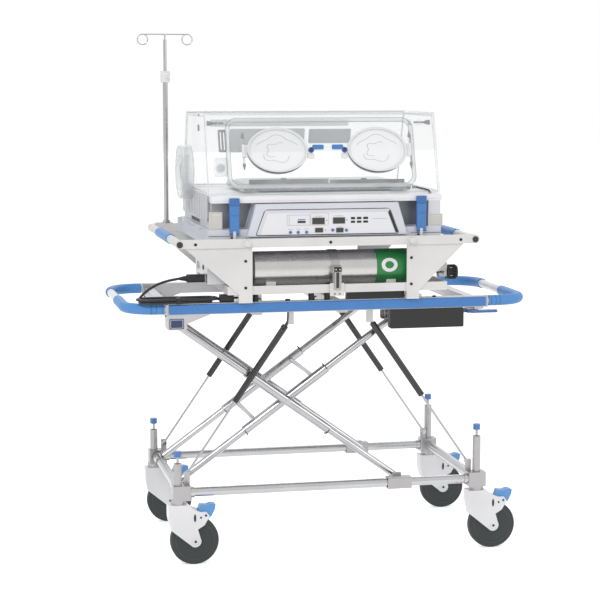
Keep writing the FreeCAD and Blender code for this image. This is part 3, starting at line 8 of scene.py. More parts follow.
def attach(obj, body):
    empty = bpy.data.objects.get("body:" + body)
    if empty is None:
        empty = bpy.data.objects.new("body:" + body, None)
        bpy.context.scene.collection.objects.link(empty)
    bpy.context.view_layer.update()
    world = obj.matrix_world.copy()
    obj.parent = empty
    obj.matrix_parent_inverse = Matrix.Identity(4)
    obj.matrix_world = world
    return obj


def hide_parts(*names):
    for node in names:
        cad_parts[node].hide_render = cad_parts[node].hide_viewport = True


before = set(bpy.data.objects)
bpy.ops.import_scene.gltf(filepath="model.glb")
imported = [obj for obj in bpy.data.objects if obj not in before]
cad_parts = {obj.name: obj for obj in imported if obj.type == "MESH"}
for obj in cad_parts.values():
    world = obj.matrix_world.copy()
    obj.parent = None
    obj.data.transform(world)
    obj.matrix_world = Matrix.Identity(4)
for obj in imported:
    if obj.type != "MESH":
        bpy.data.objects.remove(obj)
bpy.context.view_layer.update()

MM = 0.001
TAU = 2 * math.pi

# Camera at the photograph's viewing angle

camera_data = bpy.data.cameras.new("camera")
camera_data.lens = 107.33
camera_data.sensor_width = 36
camera = bpy.data.objects.new("camera", camera_data)
camera.location = (-1.2568, -5.6119, 1.4916)
camera.rotation_euler = (math.radians(82.90), 0, math.radians(-12.24))
bpy.context.collection.objects.link(camera)
bpy.context.scene.camera = camera


# Materials

def shade(name, color, rough=0.5, metal=0.0, spread=0.06, grain=120.0, bump=0.0, stretch=(1, 1, 1),
          alpha=1.0, coat=0.0, rough_spread=0.12, bump_distance=0.0004):
    """Procedural material: a base colour with fine variation, uneven gloss and a surface grain."""
    mat = bpy.data.materials.new(name)
    mat.use_nodes = True
    nodes = mat.node_tree.nodes
    links = mat.node_tree.links
    surface = nodes["Principled BSDF"]
    coords = nodes.new("ShaderNodeTexCoord")
    mapping = nodes.new("ShaderNodeMapping")
    mapping.inputs["Scale"].default_value = stretch
    links.new(coords.outputs["Object"], mapping.inputs["Vector"])
    fine = nodes.new("ShaderNodeTexNoise")
    fine.inputs["Scale"].default_value = grain
    fine.inputs["Detail"].default_value = 4
    links.new(mapping.outputs["Vector"], fine.inputs["Vector"])
    broad = nodes.new("ShaderNodeTexNoise")
    broad.inputs["Scale"].default_value = 9.0
    broad.inputs["Detail"].default_value = 2
    links.new(coords.outputs["Object"], broad.inputs["Vector"])
    ramp = nodes.new("ShaderNodeValToRGB")
    ramp.color_ramp.elements[0].position = 0.3
    ramp.color_ramp.elements[1].position = 0.7
    ramp.color_ramp.elements[0].color = [max(0, c * (1 - spread)) for c in color] + [1]
    ramp.color_ramp.elements[1].color = [min(1, c * (1 + spread * 0.5)) for c in color] + [1]
    links.new(broad.outputs["Fac"], ramp.inputs["Fac"])
    links.new(ramp.outputs["Color"], surface.inputs["Base Color"])
    gloss = nodes.new("ShaderNodeMapRange")
    gloss.inputs["From Min"].default_value = 0.3
    gloss.inputs["From Max"].default_value = 0.7
    gloss.inputs["To Min"].default_value = max(0.02, rough * (1 - rough_spread))
    gloss.inputs["To Max"].default_value = min(1.0, rough * (1 + rough_spread))
    links.new(fine.outputs["Fac"], gloss.inputs["Value"])
    links.new(gloss.outputs["Result"], surface.inputs["Roughness"])
    if bump:
        relief = nodes.new("ShaderNodeBump")
        relief.inputs["Strength"].default_value = bump
        relief.inputs["Distance"].default_value = bump_distance
        links.new(fine.outputs["Fac"], relief.inputs["Height"])
        links.new(relief.outputs["Normal"], surface.inputs["Normal"])
    surface.inputs["Metallic"].default_value = metal
    surface.inputs["Alpha"].default_value = alpha
    surface.inputs["Coat Weight"].default_value = coat
    return mat


paint_white = shade("paint_white", (0.82, 0.82, 0.84), 0.32, bump=0.15, grain=500, coat=0.3)
paint_grey = shade("paint_grey", (0.66, 0.66, 0.68), 0.30, metal=0.35, bump=0.1, grain=600)
carrier_paint = shade("carrier_paint", (0.74, 0.73, 0.72), 0.42, bump=0.25, grain=700)
steel_brushed = shade("steel_brushed", (0.42, 0.41, 0.41), 0.34, metal=1.0, bump=0.2, grain=350,
                      stretch=(1, 1, 0.12))
steel_tube = shade("steel_tube", (0.52, 0.52, 0.53), 0.24, metal=1.0, bump=0.05, grain=400,
                   stretch=(0.1, 1, 1))
chrome = shade("chrome", (0.46, 0.46, 0.47), 0.12, metal=1.0, spread=0.12, grain=300)
alloy = shade("alloy", (0.50, 0.50, 0.51), 0.36, metal=0.9, bump=0.15, grain=420, stretch=(0.15, 1, 1))
blue_gloss = shade("blue_gloss", (0.046, 0.20, 0.52), 0.28, coat=0.4, spread=0.08, grain=300)
blue_cover = shade("blue_cover", (0.046, 0.20, 0.53), 0.30, coat=0.3, spread=0.06, grain=200,
                   stretch=(0.2, 1, 1))
blue_rubber = shade("blue_rubber", (0.085, 0.28, 0.64), 0.48, bump=0.5, grain=900)
pedal_blue = shade("pedal_blue", (0.12, 0.34, 0.70), 0.36, bump=0.3, grain=500)
tyre_grey = shade("tyre_grey", (0.040, 0.046, 0.047), 0.66, bump=0.35, grain=520)
hub_grey = shade("hub_grey", (0.06, 0.06, 0.065), 0.45, bump=0.2, grain=400)
black_matte = shade("black_matte", (0.012, 0.012, 0.013), 0.50, bump=0.35, grain=700)
black_gloss = shade("black_gloss", (0.006, 0.006, 0.007), 0.16, spread=0.02, coat=0.5)
dark_grey = shade("dark_grey", (0.10, 0.10, 0.11), 0.48, bump=0.3, grain=500)
shell_plastic = shade("shell_plastic", (0.68, 0.69, 0.75), 0.40, bump=0.2, grain=520, spread=0.03)
shell_white = shade("shell_white", (0.86, 0.86, 0.88), 0.38, bump=0.2, grain=520, spread=0.03)
panel_film = shade("panel_film", (0.80, 0.80, 0.83), 0.34, spread=0.02, grain=200, coat=0.2)
clear = shade("clear", (0.90, 0.94, 0.95), 0.05, alpha=0.10, spread=0.01, rough_spread=0.0)
clear_edge = shade("clear_edge", (0.80, 0.83, 0.85), 0.12, alpha=0.42, spread=0.05)
cylinder_steel = shade("cylinder_steel", (0.55, 0.54, 0.53), 0.27, metal=1.0, bump=0.1, grain=260,
                       stretch=(0.08, 1, 1))
oxygen_green = shade("oxygen_green", (0.012, 0.20, 0.045), 0.38, coat=0.2)
mark_white = shade("mark_white", (0.80, 0.80, 0.80), 0.45, spread=0.02)
cream = shade("cream", (0.66, 0.65, 0.60), 0.50, spread=0.03)
key_blue = shade("key_blue", (0.05, 0.15, 0.48), 0.35, coat=0.3)
line_orange = shade("line_orange", (0.72, 0.52, 0.30), 0.45, spread=0.02)
screw_black = shade("screw_black", (0.015, 0.015, 0.016), 0.35, metal=0.4)
cord_black = shade("cord_black", (0.016, 0.016, 0.018), 0.42, bump=0.3, grain=900)
navy = shade("navy", (0.016, 0.035, 0.12), 0.30, coat=0.3)
pad_cloth = shade("pad_cloth", (0.84, 0.84, 0.83), 0.80, bump=0.6, grain=1600, spread=0.04)
mesh_cloth = shade("mesh_cloth", (0.36, 0.36, 0.37), 0.75, spread=0.6, bump=0.9, grain=240,
                   bump_distance=0.002)
fan_plastic = shade("fan_plastic", (0.74, 0.74, 0.72), 0.45, bump=0.2)
nylon_white = shade("nylon_white", (0.80, 0.80, 0.80), 0.40, spread=0.03)
lever_blue = shade("lever_blue", (0.07, 0.20, 0.55), 0.32, coat=0.3)
gasket_clear = shade("gasket_clear", (0.84, 0.86, 0.87), 0.16, alpha=0.34, spread=0.03)
edge_grey = shade("edge_grey", (0.50, 0.52, 0.54), 0.25, alpha=0.50, spread=0.04)
port_white = shade("port_white", (0.84, 0.85, 0.86), 0.22, alpha=0.72, spread=0.03)
port_clear = shade("port_clear", (0.93, 0.94, 0.95), 0.10, alpha=0.68, spread=0.02, bump=0.3, grain=40,
                   bump_distance=0.002)
sleeve_clear = shade("sleeve_clear", (0.80, 0.82, 0.83), 0.30, alpha=0.45, spread=0.05, bump=0.3, grain=90)
seal_dark = shade("seal_dark", (0.075, 0.073, 0.072), 0.40, spread=0.2)
hinge_grey = shade("hinge_grey", (0.30, 0.30, 0.31), 0.35, spread=0.1)
panel_shade = shade("panel_shade", (0.56, 0.58, 0.59), 0.45, spread=0.06)
panel_shade_dark = shade("panel_shade_dark", (0.45, 0.47, 0.49), 0.45, spread=0.08)
rail_pale = shade("rail_pale", (0.72, 0.73, 0.74), 0.35, spread=0.03)
blue_deep = shade("blue_deep", (0.03, 0.145, 0.42), 0.28, coat=0.4, spread=0.06)
line_grey = shade("line_grey", (0.40, 0.40, 0.42), 0.45, spread=0.03)
sheet_pale = shade("sheet_pale", (0.86, 0.87, 0.89), 0.35, alpha=0.55, spread=0.04)
window_dark = shade("window_dark", (0.014, 0.010, 0.010), 0.12, coat=0.6, spread=0.05)


def painted_shade_gradient(name, stops, low, high, rough):
    """Plastic with painted shade: its colour changes evenly from left to right of the object."""
    mat = shade(name, stops[0], rough, bump=0.15, grain=400)
    nodes = mat.node_tree.nodes
    links = mat.node_tree.links
    coords = nodes.new("ShaderNodeTexCoord")
    parts = nodes.new("ShaderNodeSeparateXYZ")
    links.new(coords.outputs["Object"], parts.inputs["Vector"])
    share = nodes.new("ShaderNodeMapRange")
    share.inputs["From Min"].default_value = low
    share.inputs["From Max"].default_value = high
    links.new(parts.outputs["X"], share.inputs["Value"])
    ramp = nodes.new("ShaderNodeValToRGB")
    ramp.color_ramp.elements[0].color = list(stops[0]) + [1]
    ramp.color_ramp.elements[1].color = list(stops[-1]) + [1]
    for i, stop in enumerate(stops[1:-1]):
        ramp.color_ramp.elements.new((i + 1) / (len(stops) - 1)).color = list(stop) + [1]
    links.new(share.outputs["Result"], ramp.inputs["Fac"])
    links.new(ramp.outputs["Color"], nodes["Principled BSDF"].inputs["Base Color"])
    return mat


# Painted shade in the recesses beside the console: darker and lighter bands across their width
recess_left = painted_shade_gradient("recess_left", ((0.42, 0.42, 0.45), (0.16, 0.15, 0.20), (0.30, 0.30, 0.33),
                                             (0.13, 0.13, 0.14)), -0.345, -0.245, 0.4)
recess_right = painted_shade_gradient("recess_right", ((0.33, 0.34, 0.36), (0.13, 0.14, 0.16), (0.20, 0.18, 0.26)),
                              0.215, 0.30, 0.4)

node_looks = {
    "base_rails": steel_tube, "corner_blocks": steel_brushed, "buffer_caps": blue_gloss,
    "leg_a_frame": chrome, "leg_b_frame": chrome, "lower_sliders": steel_brushed,
    "upper_sliders": alloy, "strut_cylinders_left": black_gloss, "strut_cylinders_right": black_gloss,
    "strut_rods_left": chrome, "strut_rods_right": chrome, "platform_frame": alloy,
    "rail_covers": blue_cover, "loop_handles": paint_white, "handle_grips": blue_rubber,
    "battery_box": black_matte, "release_lever": lever_blue, "carrier_frame": carrier_paint,
    "docking_feet": black_matte, "power_module": paint_grey, "oxygen_cylinder": cylinder_steel,
    "cylinder_valve": steel_brushed, "valve_knob": black_matte, "cylinder_strap": steel_brushed,
    "strap_latch": steel_brushed, "base_shell": shell_plastic, "shell_deck": shell_white,
    "control_panel": panel_film, "fan_impeller": fan_plastic, "hood_shell": clear, "front_door": clear,
    "port_door_left": port_clear, "port_door_right": port_clear, "port_latch_left": blue_gloss,
    "port_latch_right": blue_gloss, "door_bolt_left": hinge_grey, "door_bolt_right": hinge_grey,
    "iris_ring": sleeve_clear, "hood_clamp_left": blue_gloss, "hood_clamp_right": blue_gloss,
    "mattress_tray": chrome, "mattress": pad_cloth, "iv_pole": chrome, "iv_pole_inner": chrome,
    "lead_plug": black_matte, "wall_plug": black_matte, "lead_tube": cord_black, "lead_hank": cord_black,
}
corners = ("front_left", "front_right", "back_left", "back_right")
for corner in corners:
    node_looks["caster_fork_" + corner] = paint_white
    node_looks["caster_wheel_" + corner] = tyre_grey
    node_looks["brake_pedal_" + corner] = pedal_blue
for name, look in node_looks.items():
    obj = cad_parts[name]
    if not obj.material_slots:
        obj.data.materials.append(look)
    for slot in obj.material_slots:
        slot.material = look


# Mesh helpers

def piece(name, bm, look, body="platform", smooth=True, bevel=0.0):
    """Put a mesh in the scene as a named piece that rides on a body."""
    mesh = bpy.data.meshes.new(name)
    bmesh.ops.recalc_face_normals(bm, faces=bm.faces)
    bm.to_mesh(mesh)
    bm.free()
    mesh.materials.append(look)
    obj = bpy.data.objects.new(name, mesh)
    bpy.context.collection.objects.link(obj)
    if bevel:
        mod = obj.modifiers.new("bevel", "BEVEL")
        mod.width = bevel
        mod.segments = 3
        mod.limit_method = "ANGLE"
        mod.angle_limit = math.radians(40)
        mod.harden_normals = False
    if smooth:
        for polygon in mesh.polygons:
            polygon.use_smooth = True
        if bevel:
            obj.modifiers.new("weighted", "WEIGHTED_NORMAL")
        else:
            mesh.shade_smooth()
            split = obj.modifiers.new("split", "EDGE_SPLIT")
            split.split_angle = math.radians(35)
    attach(obj, body)
    return obj


def add_box(bm, lo, hi, matrix=None):
    """Box given by two corners in millimetres."""
    size = [abs(b - a) * MM for a, b in zip(lo, hi)]
    centre = Vector([(a + b) / 2 * MM for a, b in zip(lo, hi)])
    made = bmesh.ops.create_cube(bm, size=1, matrix=Matrix.Translation(centre) @ Matrix.Diagonal(size + [1]))
    if matrix:
        bmesh.ops.transform(bm, matrix=matrix, verts=made["verts"])


def boxes(name, pairs, look, body="platform", **how):
    """Piece made of boxes, each given by two corners."""
    made = bmesh.new()
    for lo, hi in pairs:
        add_box(made, lo, hi)
    return piece(name, made, look, body, **how)


def turned(bm, start, end, profile, segments=40):
    """Turned form: profile holds (distance along the axis, radius) pairs in millimetres."""
    start = Vector(start) * MM
    axis = (Vector(end) * MM - start).normalized()
    side = axis.orthogonal().normalized()
    other = axis.cross(side)
    rings = []
    for along, radius in profile:
        centre = start + axis * along * MM
        if radius <= 0:
            rings.append([bm.verts.new(centre)])
            continue
        ring = []
        for i in range(segments):
            a = TAU * i / segments
            ring.append(bm.verts.new(centre + (side * math.cos(a) + other * math.sin(a)) * radius * MM))
        rings.append(ring)
    for low, high in zip(rings, rings[1:]):
        for i in range(segments):
            j = (i + 1) % segments
            corners_of = [low[i % len(low)], low[j % len(low)], high[j % len(high)], high[i % len(high)]]
            unique = list(dict.fromkeys(corners_of))
            if len(unique) > 2:
                bm.faces.new(unique)


def knob_profile(length, radius, edge=1.2):
    """Closed round form with softened rims."""
    return [(0, 0), (0, radius - edge), (edge * 0.3, radius - edge * 0.3), (edge, radius),
            (length - edge, radius), (length - edge * 0.3, radius - edge * 0.3),
            (length, radius - edge), (length, 0)]


def closed_form(bm, near, far):
    """Closed plate between two outlines of 3-D points in metres."""
    near = [bm.verts.new(p) for p in near]
    far = [bm.verts.new(p) for p in far]
    bm.faces.new(near)
    bm.faces.new(list(reversed(far)))
    for i in range(len(near)):
        j = (i + 1) % len(near)
        bm.faces.new([near[i], far[i], far[j], near[j]])


def slab(bm, outline, depth):
    """Flat plate from an outline of 3-D points in millimetres, moved by depth."""
    near = [Vector(p) * MM for p in outline]
    closed_form(bm, near, [p + Vector(depth) * MM for p in near])


def round_rect(x0, x1, z0, z1, radius, steps=6):
    """Outline of a rectangle with rounded corners, as pairs."""
    points = []
    for cx, cz, start in ((x1 - radius, z1 - radius, 0), (x0 + radius, z1 - radius, 90),
                          (x0 + radius, z0 + radius, 180), (x1 - radius, z0 + radius, 270)):
        for i in range(steps + 1):
            a = math.radians(start + 90 * i / steps)
            points.append((cx + radius * math.cos(a), cz + radius * math.sin(a)))
    return points


def frame_ring(bm, outer, inner, depth, place):
    """Flat ring between two outlines with the same number of points, given a thickness."""
    strip(bm, outer, inner, depth, place, closed=True)


def plate(bm, outline, depth, place):
    """Closed plate from an outline of pairs, placed by a function."""
    closed_form(bm, [place(a, b, 0) for a, b in outline], [place(a, b, depth) for a, b in outline])


def strip(bm, outer, inner, depth, place, closed=False):
    """Band between two lines with the same number of points, given a thickness."""
    rows = []
    for line, level in ((outer, 0), (inner, 0), (inner, depth), (outer, depth)):
        rows.append([bm.verts.new(place(a, b, level)) for a, b in line])
    count = len(outer)
    for low, high in ((0, 1), (1, 2), (2, 3), (3, 0)):
        for i in range(count if closed else count - 1):
            j = (i + 1) % count
            bm.faces.new([rows[low][i], rows[low][j], rows[high][j], rows[high][i]])
    if not closed:
        for i in (0, count - 1):
            bm.faces.new([row[i] for row in rows])


def facing(y, way):
    """Placement of (x, z) outlines on a plane across y; way is the direction in which level grows."""
    return lambda x, z, level: Vector((x, y + way * level, z)) * MM


def facing_front(y):
    """Placement of an outline on a plane that faces the panel side."""
    return facing(y, -1)


def wire(name, points, radius, look, body="platform", closed=False, resolution=12, unit=MM):
    """Round bar along a smooth curve; its radius is in millimetres, its points in the given unit."""
    data = bpy.data.curves.new(name, "CURVE")
    data.dimensions = "3D"
    spline = data.splines.new("NURBS")
    spline.points.add(len(points) - 1)
    for target, point in zip(spline.points, points):
        target.co = [c * unit for c in point] + [1]
    spline.order_u = 3
    spline.use_endpoint_u = not closed
    spline.use_cyclic_u = closed
    data.bevel_depth = radius * MM
    data.bevel_resolution = 6
    data.resolution_u = resolution
    data.use_fill_caps = True
    data.materials.append(look)
    obj = bpy.data.objects.new(name, data)
    bpy.context.collection.objects.link(obj)
    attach(obj, body)
    return obj


# Mains lead

lead_points = [(-0.465, -0.228, 0.881), (-0.503, -0.228, 0.876), (-0.541, -0.233, 0.863),
               (-0.572, -0.243, 0.845), (-0.596, -0.255, 0.823)]
hank_y = -270
hank_turns = ((32, 824.2), (24.6, 824.0), (24.4, 816.2), (32, 816.0))
hank_left_x = -569.5
hank_right_x = -388.5


def hank_points():
    """Turns of the hank, from the left tip round the front, counted from above."""
    points = []

    def bend(x, radius, angles, height):
        for a in map(math.radians, angles):
            points.append((x + radius * math.cos(a), hank_y + radius * math.sin(a), height))

    for turn, (radius, height) in enumerate(hank_turns):
        wobble = 1.2 * math.sin(2.1 * turn + 0.4)
        left = hank_left_x + 1.5 * (turn % 2)
        right = hank_right_x - 5.0 * (turn % 3)
        lowered = 0 if turn + 1 >= len(hank_turns) else hank_turns[turn + 1][1] - height
        bend(left, radius * 1.05, (225, 270), height)
        for share in (0.33, 0.66):
            points.append((left + (right - left) * share, hank_y - radius + wobble, height))
        if turn == len(hank_turns) - 1:
            break
        bend(right, radius * 1.06, (-80, -35, 10, 55, 95), height)
        for share in (0.66, 0.33):
            points.append((left + (right - left) * share, hank_y + radius - wobble,
                           height + lowered * (1 - share) * 0.7))
        bend(left, radius * 1.06, (100, 140, 180), height + lowered)
    points += [(-400, hank_y - 20, 818), (-375, hank_y - 6, 821), (-349, hank_y - 2, 822)]
    return [(x * MM, y * MM, z * MM) for x, y, z in points]


mains_lead = wire("mains_lead", lead_points + hank_points(), 4, cord_black, resolution=10, unit=1)
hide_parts("lead_tube", "lead_hank")

bm = bmesh.new()
tie_outer = round_rect(hank_y - 37.5, hank_y + 37.5, 811.2, 829.4, 8)
tie_inner = round_rect(hank_y - 36.3, hank_y + 36.3, 812.0, 828.4, 7)
frame_ring(bm, tie_outer, tie_inner, 14, lambda y, z, level: Vector((-486 + level, y, z)) * MM)
lead_tie = piece("lead_tie", bm, black_matte)

# Places on the hood

hood_l, hood_r = -381.0, 355.0
hood_low_y, hood_low_z = 252, 1134
hood_lean, hood_rise = 80.0, 247.0
door_face = 5.7
port_x, port_v = 158.0, 137
port_hinge_x = 264.0
latch_x = 53.0
iris_y, iris_z = 85, 1190
slope_angle = math.atan2(hood_lean, hood_rise)
slope_length = math.hypot(hood_lean, hood_rise)
slope_up = Vector((0, math.sin(slope_angle), math.cos(slope_angle)))
slope_out = Vector((0, -math.cos(slope_angle), math.sin(slope_angle)))


def on_front(x, v, n):
    """Point on the hood's front wall: v up the slope, n outward."""
    return (Vector((x, -hood_low_y, hood_low_z)) + slope_up * v + slope_out * n) * MM


def on_back(x, v, n):
    """Point on the hood's back wall: v up the slope, n outward."""
    point = on_front(x, v, n)
    return Vector((point.x, -point.y, point.z))


def lifted(place, height):
    """The same placement, raised along its normal."""
    return lambda a, b, level: place(a, b, height + level)


def ellipse(cx, cv, half_x, half_v, steps=72):
    return [(cx + half_x * math.cos(TAU * i / steps), cv + half_v * math.sin(TAU * i / steps))
            for i in range(steps)]


def soften(points, radius, steps=6):
    """Outline with each corner rounded."""
    result = []
    count = len(points)
    for i, corner_at in enumerate(points):
        corner_at = Vector(corner_at)
        before = (Vector(points[i - 1]) - corner_at).normalized() * radius
        after = (Vector(points[(i + 1) % count]) - corner_at).normalized() * radius
        for k in range(steps + 1):
            t = k / steps
            p = (corner_at + before) * (1 - t) ** 2 + corner_at * 2 * t * (1 - t) + \
                (corner_at + after) * t ** 2
            result.append((p.x, p.y))
    return result


def closed_ring(length, outer, inner, edge=0.6):
    """Turned sleeve open at both ends."""
    return [(0, inner), (0, outer - edge), (edge, outer), (length - edge, outer), (length, outer - edge),
            (length, inner), (0, inner)]


def end_place(x, direction):
    """Placement of (y, z) outlines on an end wall; direction is the way that level grows."""
    return lambda y, z, level: Vector((x + direction * level, y, z)) * MM


# Hood edges

bm = bmesh.new()
for place in (on_front, on_back):
    outer = [(hood_l + 0.5, 2), (hood_r - 0.5, 2), (hood_r - 0.5, slope_length), (hood_l + 0.5, slope_length)]
    inner = [(hood_l + 6, 8), (hood_r - 6, 8), (hood_r - 6, slope_length - 6), (hood_l + 6, slope_length - 6)]
    frame_ring(bm, outer, inner, 0.8, lifted(place, 0.1))
frame_ring(bm, [(hood_l, -171), (hood_r, -171), (hood_r, 171), (hood_l, 171)],
           [(hood_l + 6, -165), (hood_r - 6, -165), (hood_r - 6, 165), (hood_l + 6, 165)], 0.8,
           lambda x, y, level: Vector((x, y, 1381.1 + level)) * MM)
for x, way in ((hood_l + 5.2, 1), (hood_r - 5.2, -1)):
    frame_ring(bm, [(-244, 1136), (244, 1136), (166, 1375), (-166, 1375)],
               [(-235, 1143), (235, 1143), (161, 1369), (-161, 1369)], 1.0, end_place(x, way))
piece("hood_edges", bm, clear_edge, smooth=False)

# Pale sheet with upright ribs on the left skirt, and two clips on the left end wall
bm = bmesh.new()
plate(bm, [(-250, 1054), (250, 1054), (250, 1133), (-250, 1133)], 0.6, end_place(hood_l - 0.1, -1))
piece("skirt_sheet", bm, sheet_pale, smooth=False)
bm = bmesh.new()
for i in range(15):
    y = -238 + 34 * i
    add_box(bm, (hood_l - 1.6, y - 1.2, 1056), (hood_l - 0.7, y + 1.2, 1131))
piece("skirt_ribs", bm, edge_grey, smooth=False)
boxes("end_clips", [((hood_l - 4.5, -106, 1326), (hood_l - 0.1, -92, 1346)),
                    ((hood_l - 3.0, -105, 1372), (hood_l - 0.1, -97, 1380))],
      hinge_grey, bevel=0.0008)

# Door gasket with its two outlines
bm = bmesh.new()
frame_ring(bm, round_rect(-316, 278, 20, 242, 36, 10), round_rect(-303, 265, 33, 229, 25, 10), 1.4,
           lifted(on_front, door_face))
piece("door_gasket", bm, gasket_clear, "door", smooth=False, bevel=0.0006)
bm = bmesh.new()
for grow in (0.0, 12.4):
    frame_ring(bm, round_rect(-317.2 + grow, 279.2 - grow, 18.8 + grow, 243.2 - grow, 37 - grow, 10),
               round_rect(-315.6 + grow, 277.6 - grow, 20.4 + grow, 241.6 - grow, 35.5 - grow, 10), 1.9,
               lifted(on_front, door_face))
piece("door_gasket_lines", bm, edge_grey, "door", smooth=False)

# Ports: a white rim, a dark seal along the low side, hinge tips and latches
for tag, side in (("left", -1), ("right", 1)):
    cx = side * port_x
    body = "port_" + tag
    bm = bmesh.new()
    for half_x, half_v, width, depth, low in ((95.6, 73.6, 1.5, 7.6, 6.1), (88.6, 66.6, 2.2, 0.9, 10.3)):
        frame_ring(bm, ellipse(cx, port_v, half_x, half_v),
                   ellipse(cx, port_v, half_x - width, half_v - width), depth, lifted(on_front, low))
    piece("port_rim_" + tag, bm, port_white, body, smooth=False)
    bm = bmesh.new()
    steps = 40
    start, stop = (186, 318) if side < 0 else (186, 306)
    outline_out, outline_in = [], []
    for i in range(steps + 1):
        t = i / steps
        a = math.radians(start + (stop - start) * t)
        width = 0.5 + 3.6 * math.sin(math.pi * t) ** 0.7
        outline_out.append((cx + 95.2 * math.cos(a), port_v + 73.2 * math.sin(a)))
        outline_in.append((cx + (95.2 - width) * math.cos(a), port_v + (73.2 - width) * math.sin(a)))
    strip(bm, outline_out, outline_in, 0.6, lifted(on_front, 14.0))
    piece("port_seal_" + tag, bm, seal_dark, body, smooth=False)
    bm = bmesh.new()
    for k, (w0, w1, r0) in enumerate(((20, 160, 0.72), (200, 330, 0.55), (60, 250, 0.38))):
        out, back = [], []
        for i in range(25):
            a = math.radians(w0 + (w1 - w0) * i / 24)
            r = r0 + 0.06 * math.sin(5 * a + k)
            out.append((cx + 88 * r * math.cos(a), port_v + 66 * r * math.sin(a)))
            thin = r - 0.016
            back.append((cx + 88 * thin * math.cos(a), port_v + 66 * thin * math.sin(a)))
        strip(bm, out, back, 0.5, lifted(on_front, 10.1))
    piece("port_folds_" + tag, bm, edge_grey, body, smooth=False)
    bm = bmesh.new()
    hx = side * port_hinge_x
    for up in (-1, 1):
        a = on_front(hx, port_v + up * 40.4, 11.1) / MM
        b = on_front(hx, port_v + up * 60, 11.1) / MM
        turned(bm, a, b, [(0, 0), (0, 4.4), (3, 5.0), (9, 4.2), (13, 2.2), (17, 2.6), (19, 1.2), (19, 0)], 20)
    piece("port_hinge_tips_" + tag, bm, hinge_grey, "door")
    lx = side * latch_x
    bm = bmesh.new()
    plate(bm, round_rect(lx - 11, lx + 11, 112, 129, 3), 4.2, lifted(on_front, door_face))
    piece("latch_base_" + tag, bm, nylon_white, "door", bevel=0.0008)
    bm = bmesh.new()
    turned(bm, on_front(lx, port_v, 18.0) / MM, on_front(lx, port_v, 19.2) / MM,
           [(0, 0), (0, 7.4), (0.8, 7.6), (1.2, 7.0), (1.2, 0)], 32)
    turned(bm, on_front(lx, port_v, 19.2) / MM, on_front(lx, port_v, 19.9) / MM,
           [(0, 0), (0, 3.0), (0.5, 2.6), (0.5, 0)], 20)
    piece("latch_hub_" + tag, bm, navy, "latch_" + tag)
    bm = bmesh.new()
    turned(bm, on_front(lx, port_v, 12.4) / MM, on_front(lx, port_v, 18.0) / MM,
           [(0, 0), (0, 8.8), (0.6, 9), (5.0, 9), (5.6, 8.4), (5.6, 0)], 32)
    ends = sorted((lx - side * 4, lx - side * 40))
    plate(bm, round_rect(ends[0], ends[1], 138.5, 153.5, 4, 5), 3.4, lifted(on_front, 14.9))
    latch = piece("latch_arm_" + tag, bm, blue_gloss, "latch_" + tag, smooth=False, bevel=0.001)
    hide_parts("port_latch_" + tag)

# Back wall panels and the bright rail above them
bm = bmesh.new()
plate(bm, round_rect(-235, 17, 120, 202, 4), 3, lifted(on_back, -9.0))
piece("back_panel_left", bm, panel_shade, smooth=False, bevel=0.001)
bm = bmesh.new()
plate(bm, round_rect(31, 174, 150, 200, 4), 3, lifted(on_back, -9.0))
piece("back_panel_right", bm, panel_shade_dark, smooth=False, bevel=0.001)
bm = bmesh.new()
plate(bm, round_rect(-300, 163, 211, 235, 3), 5, lifted(on_back, -11.0))
piece("back_rail", bm, rail_pale, smooth=False, bevel=0.0015)

# Holder and clear box inside the front wall, at the left
bm = bmesh.new()
frame_ring(bm, round_rect(-337, -311, 139, 210, 4), round_rect(-331, -317, 146, 203, 2.5), 5,
           lifted(on_front, -10.5))
plate(bm, round_rect(-327, -321, 146, 203, 1), 2.5, lifted(on_front, -9.0))
piece("holder_frame", bm, hinge_grey, smooth=False, bevel=0.0006)
bm = bmesh.new()
plate(bm, round_rect(-353, -312, 63, 121, 4), 11, lifted(on_front, -16.5))
piece("probe_box", bm, gasket_clear, smooth=False, bevel=0.0015)
bm = bmesh.new()
turned(bm, on_front(-332, 92, -28) / MM, on_front(-332, 92, -16.6) / MM, knob_profile(11, 13), 32)
turned(bm, on_front(-332, 92, -33) / MM, on_front(-332, 92, -27) / MM, knob_profile(6, 7), 24)
piece("probe_knob", bm, rail_pale)

# Bent rod in front of the hood's right end
wire("hood_rod", [(270, -259, 1154), (285, -259.5, 1150), (304, -260, 1146), (314, -260, 1143),
                  (318, -260, 1138), (318, -260, 1133.2)], 2.8, seal_dark)
bm = bmesh.new()
turned(bm, (318, -260, 1133.1), (318, -260, 1138), [(0, 0), (0, 5), (2, 5), (4, 3.4), (4.4, 0)], 20)
add_box(bm, (262, -262.5, 1149.5), (271.5, -253.2, 1158))
piece("hood_rod_foot", bm, hinge_grey)

# Iris ring: bead at each rim, pleats on the sleeve
bm = bmesh.new()
for x, radius, tube in ((-417.0, 83.0, 2.2), (-384.0, 86.3, 1.6), (-411.0, 26.5, 2.4)):
    ring = []
    for i in range(72):
        a = TAU * i / 72
        loop = []
        for k in range(8):
            b = TAU * k / 8
            r = radius + tube * math.cos(b)
            loop.append(bm.verts.new(Vector((x + tube * math.sin(b), iris_y + r * math.cos(a),
                                             iris_z + r * math.sin(a))) * MM))
        ring.append(loop)
    for i in range(72):
        for k in range(8):
            j, m = (i + 1) % 72, (k + 1) % 8
            bm.faces.new([ring[i][k], ring[j][k], ring[j][m], ring[i][m]])
piece("iris_beads", bm, gasket_clear, "iris")
bm = bmesh.new()
for i in range(24):
    a = TAU * i / 24
    spread = math.radians(2.2)
    corners_of = []
    for x, radius in ((-383.5, 57.0), (-409.5, 28.0)):
        for turn in (-spread, spread):
            corners_of.append((x, iris_y + radius * math.cos(a + turn), iris_z + radius * math.sin(a + turn)))
    p = corners_of
    slab(bm, [p[0], p[1], p[3], p[2]], (-1.4, 0, 0))
piece("iris_pleats", bm, gasket_clear, "iris", smooth=False)

